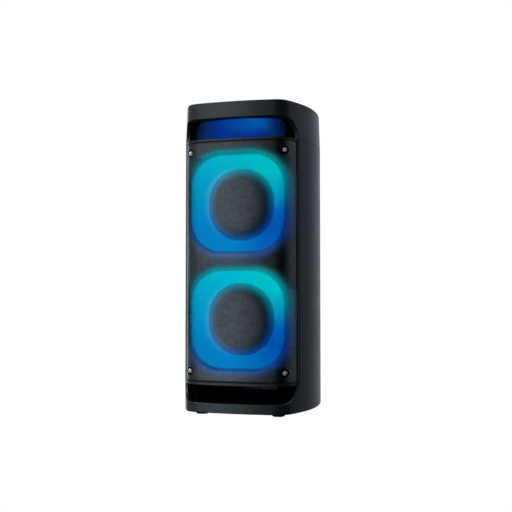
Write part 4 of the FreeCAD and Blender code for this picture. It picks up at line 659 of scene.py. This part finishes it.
# control panel gloss
sh = Shader("panel_gloss_black")
smear = sh.noise(9.0, 5.0, 0.65, distortion=1.5)
sh.set("Base Color", sh.ramp(smear, [(0.3, (0.0050, 0.0052, 0.0058)), (0.7, (0.0085, 0.0088, 0.0095))]))
sh.set("Roughness", sh.remap(smear, 0.35, 0.75, 0.07, 0.22))
sh.bsdf.inputs["Coat Weight"].default_value = 0.6
sh.bsdf.inputs["Coat Roughness"].default_value = 0.06
sh.set("Normal", sh.bump(sh.noise(40.0, 2.0, 0.5), 0.00003, 0.3))
MATS["panel_gloss"] = sh

# circuit boards: solder mask with tracks and pads
sh = Shader("circuit_board_green")
cell = sh.new("ShaderNodeTexBrick")
sh.put(cell.inputs["Vector"], sh.scaled(1, 1, 1))
cell.inputs["Scale"].default_value = 180.0
cell.inputs["Mortar Size"].default_value = 0.03
track = sh.remap(sh.wave(160.0, "X", 6.0, 3.0), 0.82, 0.9, 0.0, 1.0)
c = sh.mix(track, (0.006, 0.050, 0.022, 1), (0.012, 0.085, 0.036, 1))
pads = sh.remap(sh.voronoi(260.0, rand=0.6), 0.16, 0.12, 0.0, 1.0)
c = sh.mix(pads, c, (0.55, 0.50, 0.38, 1))
sh.set("Base Color", c)
sh.set("Metallic", sh.math("MULTIPLY", pads, 0.8))
sh.set("Roughness", sh.remap(track, 0.0, 1.0, 0.32, 0.42))
sh.set("Normal", sh.bump(sh.math("ADD", track, pads), 0.00005, 0.5))
MATS["circuit_board"] = sh

# battery sleeve
sh = Shader("battery_shrink_wrap")
cr = sh.noise(36.0, 5.0, 0.6, distortion=2.0)
sh.set("Base Color", sh.ramp(cr, [(0.3, (0.010, 0.060, 0.16)), (0.7, (0.016, 0.085, 0.21))]))
sh.set("Roughness", sh.remap(cr, 0.3, 0.7, 0.22, 0.36))
sh.set("Normal", sh.bump(cr, 0.0004, 0.5))
MATS["battery_wrap"] = sh

for name, o in nodes.items():
    for s in o.material_slots:
        if s.material and s.material.name in MATS:
            s.material = MATS[s.material.name].mat


# --------------------------------------------------------------------------- woven wire grille
def build_grille():
    inset, low, high, end_y = 2.6, 79.0, 626.6, -136.0
    s = 120.0
    while plan_xy(s, inset, inset)[1] < end_y:
        s += 0.02
    half = s
    rim, corner, pitch = 3.4, 7.0, 1.5
    bow_end = (BOW[0] - inset) * math.radians(BOW[2])
    side_start = bow_end + (CORNER[0] - inset) * math.radians(CORNER[2] - CORNER[1])
    right = list(np.linspace(0, bow_end, 9))[1:] + list(np.linspace(bow_end, side_start, 11))[1:] \
        + list(np.linspace(side_start, half, 4))[1:]
    knots = sorted([-v for v in right] + [0.0] + right)
    table_s = np.linspace(0, half, 4000)
    table_x = np.array([plan_xy(t, inset, inset)[0] for t in table_s])

    def s_of_x(x):
        return math.copysign(float(np.interp(abs(x), table_x, table_s)), x)

    def x_of_s(v):
        return math.copysign(float(np.interp(abs(v), table_s, table_x)), v)

    dishes = [(sx * 111.7, zc) for sx in (-1, 1) for zc in (100.4, 604.6)]
    cut_r, verts, faces = 10.5, [], []

    def at(si, z, q):
        x, y, _ = plan_xy(si, q, inset)
        verts.append((x * MM, y * MM, z * MM))
        return len(verts) - 1

    def prism(rings):
        """Closed bar through rings of equal length, capped at both ends."""
        m = len(rings[0])
        for p, q in zip(rings, rings[1:]):
            for k in range(m):
                j = (k + 1) % m
                faces.append((p[k], p[j], q[j], q[k]))
        faces.append(tuple(reversed(rings[0])))
        faces.append(tuple(rings[-1]))

    # weft: follows the body's curve
    count = 0
    n_row = int((high - low - 2 * rim) / pitch)
    for r in range(n_row):
        z = (low + high) / 2 + (r - (n_row - 1) / 2) * pitch
        near = corner - min(z - low, high - z)
        end = half - rim + 1.0 if near <= 0 else half - corner + math.sqrt(max(0.0, (corner - rim + 1.0) ** 2 - near ** 2))
        spans = [(-end, end)]
        for cx, cz in dishes:
            if abs(z - cz) < cut_r:
                w = math.sqrt(cut_r ** 2 - (z - cz) ** 2)
                a, b = s_of_x(cx - w), s_of_x(cx + w)
                spans = [t for u, v in spans for t in ((u, min(v, a)), (max(u, b), v)) if t[1] - t[0] > 0.4]
        for a, b in spans:
            line = [a] + [k for k in knots if a + 0.3 < k < b - 0.3] + [b]
            prism([(at(k, z - 0.28, 2.6), at(k, z - 0.28, 3.05), at(k, z + 0.28, 3.05), at(k, z + 0.28, 2.6)) for k in line])
            count += 1
    # warp: straight, just behind
    n_col = int((2 * half - 2 * rim) / pitch)
    for c in range(n_col):
        si = (c - (n_col - 1) / 2) * pitch
        near = corner - (half - abs(si))
        end = rim - 1.0 if near <= 0 else corner - math.sqrt(max(0.0, (corner - rim + 1.0) ** 2 - near ** 2))
        spans = [(low + end, high - end)]
        for cx, cz in dishes:
            dx = x_of_s(si) - cx
            if abs(dx) < cut_r:
                w = math.sqrt(cut_r ** 2 - dx ** 2)
                spans = [t for u, v in spans for t in ((u, min(v, cz - w)), (max(u, cz + w), v)) if t[1] - t[0] > 0.4]
        for a, b in spans:
            prism([(at(si - 0.22, z, 2.97), at(si + 0.22, z, 2.97), at(si + 0.22, z, 3.45), at(si - 0.22, z, 3.45))
                   for z in (a, b)])
            count += 1
    n_wire = len(faces)

    # folded rim round the mesh
    path = []
    inner_knots = [k for k in knots if abs(k) < half - corner - 0.3]
    for k in [-(half - corner)] + inner_knots + [half - corner]:
        path.append((k, low, 0.0, 1.0))
    for t in (15, 30, 45, 60, 75):
        a = math.radians(t)
        path.append((half - corner + corner * math.sin(a), low + corner - corner * math.cos(a), -math.sin(a), math.cos(a)))
    path.append((half, low + corner, -1.0, 0.0))
    path.append((half, high - corner, -1.0, 0.0))
    for t in (15, 30, 45, 60, 75):
        a = math.radians(t)
        path.append((half - corner + corner * math.cos(a), high - corner + corner * math.sin(a), -math.cos(a), -math.sin(a)))
    for k in [half - corner] + inner_knots[::-1] + [-(half - corner)]:
        path.append((k, high, 0.0, -1.0))
    for t in (15, 30, 45, 60, 75):
        a = math.radians(t)
        path.append((-half + corner - corner * math.sin(a), high - corner + corner * math.cos(a), math.sin(a), -math.cos(a)))
    path.append((-half, high - corner, 1.0, 0.0))
    path.append((-half, low + corner, 1.0, 0.0))
    for t in (15, 30, 45, 60, 75):
        a = math.radians(t)
        path.append((-half + corner - corner * math.cos(a), low + corner - corner * math.sin(a), math.cos(a), math.sin(a)))
    prof = [(0.0, 3.8), (0.0, 3.1), (0.15, 2.75), (0.5, 2.6), (rim, 2.6), (rim, 3.8)]
    rings = [[at(si + ns * w, z + nz * w, q) for w, q in prof] for si, z, ns, nz in path]
    for i in range(len(rings)):
        p, q = rings[i], rings[(i + 1) % len(rings)]
        for k in range(len(prof)):
            j = (k + 1) % len(prof)
            faces.append((p[k], p[j], q[j], q[k]))
    # collars of the four screw dishes
    for cx, cz in dishes:
        rings = []
        for k in range(48):
            t = 2 * math.pi * k / 48
            ring = []
            for r, q in ((9.75, 3.8), (9.75, 2.8), (9.95, 2.6), (11.2, 2.6), (11.2, 3.8)):
                ring.append(at(s_of_x(cx + r * math.cos(t)), cz + r * math.sin(t), q))
            rings.append(ring)
        for i in range(48):
            p, q = rings[i], rings[(i + 1) % 48]
            for k in range(5):
                j = (k + 1) % 5
                faces.append((p[k], p[j], q[j], q[k]))
    b = bmesh.new()
    me = bpy.data.meshes.new("grille_woven_wire")
    me.from_pydata(verts, [], faces)
    me.validate()
    b.from_mesh(me)
    bmesh.ops.recalc_face_normals(b, faces=b.faces)
    b.to_mesh(me)
    b.free()
    flat = np.ones(len(me.polygons), bool)
    flat[:n_wire] = False
    me.polygons.foreach_set("use_smooth", flat)
    me.set_sharp_from_angle(angle=math.radians(28))
    o = bpy.data.objects.new("grille_woven_wire", me)
    scene.collection.objects.link(o)
    me.materials.append(MATS["grille_mesh"].mat)
    print("grille: wires", count, "half length", round(half, 2), "triangles", sum(len(p.vertices) - 2 for p in me.polygons))
    return o


grille = build_grille()
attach(grille, "cabinet")
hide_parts("front_grille")


# --------------------------------------------------------------------------- key caps and their icons
sh = Shader("icon_print")
x, _, z = sh.xyz()
sh.set("Base Color", sh.ramp(sh.noise(700.0, 3.0, 0.6), [(0.3, (0.50, 0.52, 0.55)), (0.7, (0.62, 0.64, 0.67))]))
sh.set("Roughness", sh.remap(sh.noise(300.0, 2.0, 0.5), 0.3, 0.7, 0.45, 0.6))
sh.set("Normal", sh.bump(sh.noise(900.0, 2.0, 0.5), 0.00002, 0.5))
ICON = sh


def icon_outlines(kind):
    """2-D outlines, with any holes, of a plain generic icon about 8 mm wide."""
    if kind == "power":
        return [(band(3.0, 0.8, 125, 415, 36), []), (bar(0, 0.9, 0, 3.9, 0.8), [])]
    if kind == "pairing":
        a = [(band(1.5, 0.75, -45, 45, 12, -1.6, 0), []), (band(3.1, 0.75, -45, 45, 16, -1.6, 0), []),
             (band(4.7, 0.75, -45, 45, 20, -1.6, 0), []), (arc_pts(0.7, 0, 345, 15, -2.2, 0), [])]
        return a
    if kind == "volume_down":
        return [(bar(-3.0, 0, 3.0, 0, 0.9), [])]
    if kind == "volume_up":
        w = 0.45
        return [([(-3.2, -w), (-w, -w), (-w, -3.2), (w, -3.2), (w, -w), (3.2, -w), (3.2, w), (w, w), (w, 3.2),
                  (-w, 3.2), (-w, w), (-3.2, w)], [])]
    if kind == "play_pause":
        return [([(-3.8, -2.6), (0.2, 0.0), (-3.8, 2.6)], []), (bar(1.5, -2.2, 1.5, 2.2, 0.8), []),
                (bar(3.4, -2.2, 3.4, 2.2, 0.8), [])]
    rays = [(bar(2.6 * math.cos(t), 2.6 * math.sin(t), 3.9 * math.cos(t), 3.9 * math.sin(t), 0.6), [])
            for t in (2 * math.pi * k / 8 for k in range(8))]
    return rays + [(arc_pts(1.7, 0, 345, 23), [])]


KEYS = ["power", "pairing", "volume_down", "volume_up", "play_pause", "light_mode"]
for kind in KEYS:
    lo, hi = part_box(kind + "_key")
    cx, cy = (lo.x + hi.x) / 2 / MM, (lo.y + hi.y) / 2 / MM
    r = (hi.x - lo.x) / 2 / MM
    z0, z1 = lo.z / MM, hi.z / MM
    print("key", kind, [round(v, 2) for v in (cx, cy, r, z0, z1)])
    sag = 0.55                                     # the finger dish of the cap
    prof = [(0.0, z0), (r - 0.3, z0), (r, z0 + 0.3), (r, z1 - 0.7)]
    prof += [(r - 0.7 + 0.7 * math.cos(t), z1 - 0.7 + 0.7 * math.sin(t)) for t in (math.radians(a) for a in (22, 45, 68, 90))]
    rim = r - 0.9
    prof += [(rim * f, z1 - sag * (1 - f ** 2) ** 0.8) for f in (1.0, 0.92, 0.8, 0.66, 0.5, 0.34, 0.16)]
    prof += [(0.0, z1 - sag)]
    b = bmesh.new()
    lathe(b, [(p * MM, q * MM) for p, q in prof], centre=(cx * MM, cy * MM, 0), n=56)
    cap = obj_from_bm("key_cap_" + kind, b, angle=50)
    cap.data.materials.append(MATS["key_rubber"].mat)
    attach(cap, kind + "_button")
    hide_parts(kind + "_key")
    b = bmesh.new()
    for outline, holes in icon_outlines(kind):
        plate(b, [(p[0] * 0.92, p[1] * 0.92) for p in outline], z1 - sag - 0.25, z1 - 0.12, place_on_top(cx, cy), holes)
    ic = obj_from_bm("icon_" + kind, b, smooth=False)
    ic.data.materials.append(ICON.mat)
    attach(ic, kind + "_button")


# --------------------------------------------------------------------------- studio
def stage_plane(name, verts, faces, mat):
    me = bpy.data.meshes.new(name)
    me.from_pydata(verts, [], faces)
    o = bpy.data.objects.new(name, me)
    scene.collection.objects.link(o)
    me.materials.append(mat)
    o.visible_diffuse = o.visible_glossy = o.visible_transmission = False
    o.visible_volume_scatter = o.visible_shadow = False
    return o


def pale(name, strength):
    m = bpy.data.materials.new(name)
    m.use_nodes = True
    nt = m.node_tree
    nt.nodes.clear()
    out = nt.nodes.new("ShaderNodeOutputMaterial")
    e = nt.nodes.new("ShaderNodeEmission")
    e.inputs[0].default_value = (1, 1, 1, 1)
    e.inputs[1].default_value = strength
    nt.links.new(e.outputs[0], out.inputs[0])
    return m


white = pale("studio_white", 1.02)
stage_plane("studio_floor", [(-9, -9, 0), (9, -9, 0), (9, 9, 0), (-9, 9, 0)], [(0, 1, 2, 3)], white)
b = bmesh.new()
bmesh.ops.create_icosphere(b, subdivisions=4, radius=11.0)
me = bpy.data.meshes.new("studio_dome")
b.to_mesh(me)
b.free()
dome = bpy.data.objects.new("studio_dome", me)
scene.collection.objects.link(dome)
me.materials.append(white)
dome.visible_diffuse = dome.visible_glossy = dome.visible_transmission = False
dome.visible_volume_scatter = dome.visible_shadow = False


def softbox(name, az, el, dist, w, h, watts, colour=(1, 1, 1), aim=(0, 0, 0.36), spread=180.0):
    """Rectangular soft light. az turns from the front towards the object's right (+X)."""
    a, e = math.radians(az), math.radians(el)
    at = Vector(aim) + dist * Vector((math.sin(a) * math.cos(e), -math.cos(a) * math.cos(e), math.sin(e)))
    ld = bpy.data.lights.new(name, "AREA")
    ld.shape = "RECTANGLE"
    ld.size, ld.size_y = w, h
    ld.energy = watts
    ld.color = colour
    ld.spread = math.radians(spread)
    o = bpy.data.objects.new(name, ld)
    o.location = at
    o.rotation_euler = (Vector(aim) - at).to_track_quat("-Z", "Y").to_euler()
    o.visible_camera = False
    scene.collection.objects.link(o)
    return o


# a ring of tall soft strips and a few high boxes round the object: azimuth, watts
def tone_of(az):
    return (0.9, 0.97, 1.0) if az < 60 else (0.78, 0.90, 1.0)


for az, watts in ((-140, 12.00), (-120, 1.08), (-100, 3.17), (-80, 2.57), (-60, 3.45), (-40, 3.47), (-20, 13.51), (0, 0.27),
                  (80, 0.32), (100, 0.42), (120, 1.53), (140, 1.45), (160, 2.67), (180, 4.99)):
    softbox("strip_%03d" % (az % 360), az, 3, 2.6, 0.95, 2.8, watts * (1.10 if az < 60 else 1.18), tone_of(az))
for az, watts in ((-60, 25.95), (-20, 3.61), (100, 10.11), (140, 39.75), (180, 26.98)):
    softbox("high_%03d" % (az % 360), az, 48, 2.6, 1.0, 0.9, watts * (1.10 if az < 60 else 1.18), tone_of(az))

world = bpy.data.worlds.new("studio_world")
scene.world = world
world.use_nodes = True
world.node_tree.nodes["Background"].inputs[0].default_value = (0.9, 0.95, 1.0, 1)
world.node_tree.nodes["Background"].inputs[1].default_value = 0.01
scene.view_settings.view_transform = "Standard"
scene.view_settings.look = "None"
scene.view_settings.exposure = 0.0
scene.view_settings.gamma = 1.0

cam = bpy.data.cameras.new("camera")
cam.lens = 57.70
cam.sensor_width = 36.0
cam.clip_start, cam.clip_end = 0.05, 60.0
co = bpy.data.objects.new("camera", cam)
co.location = (0.5279, -1.9683, 0.2905)
yaw, pitch = math.radians(15.0), math.radians(2.26)
fwd = Vector((-math.sin(yaw) * math.cos(pitch), math.cos(yaw) * math.cos(pitch), math.sin(pitch)))
co.rotation_euler = fwd.to_track_quat("-Z", "Y").to_euler()
scene.collection.objects.link(co)
scene.camera = co
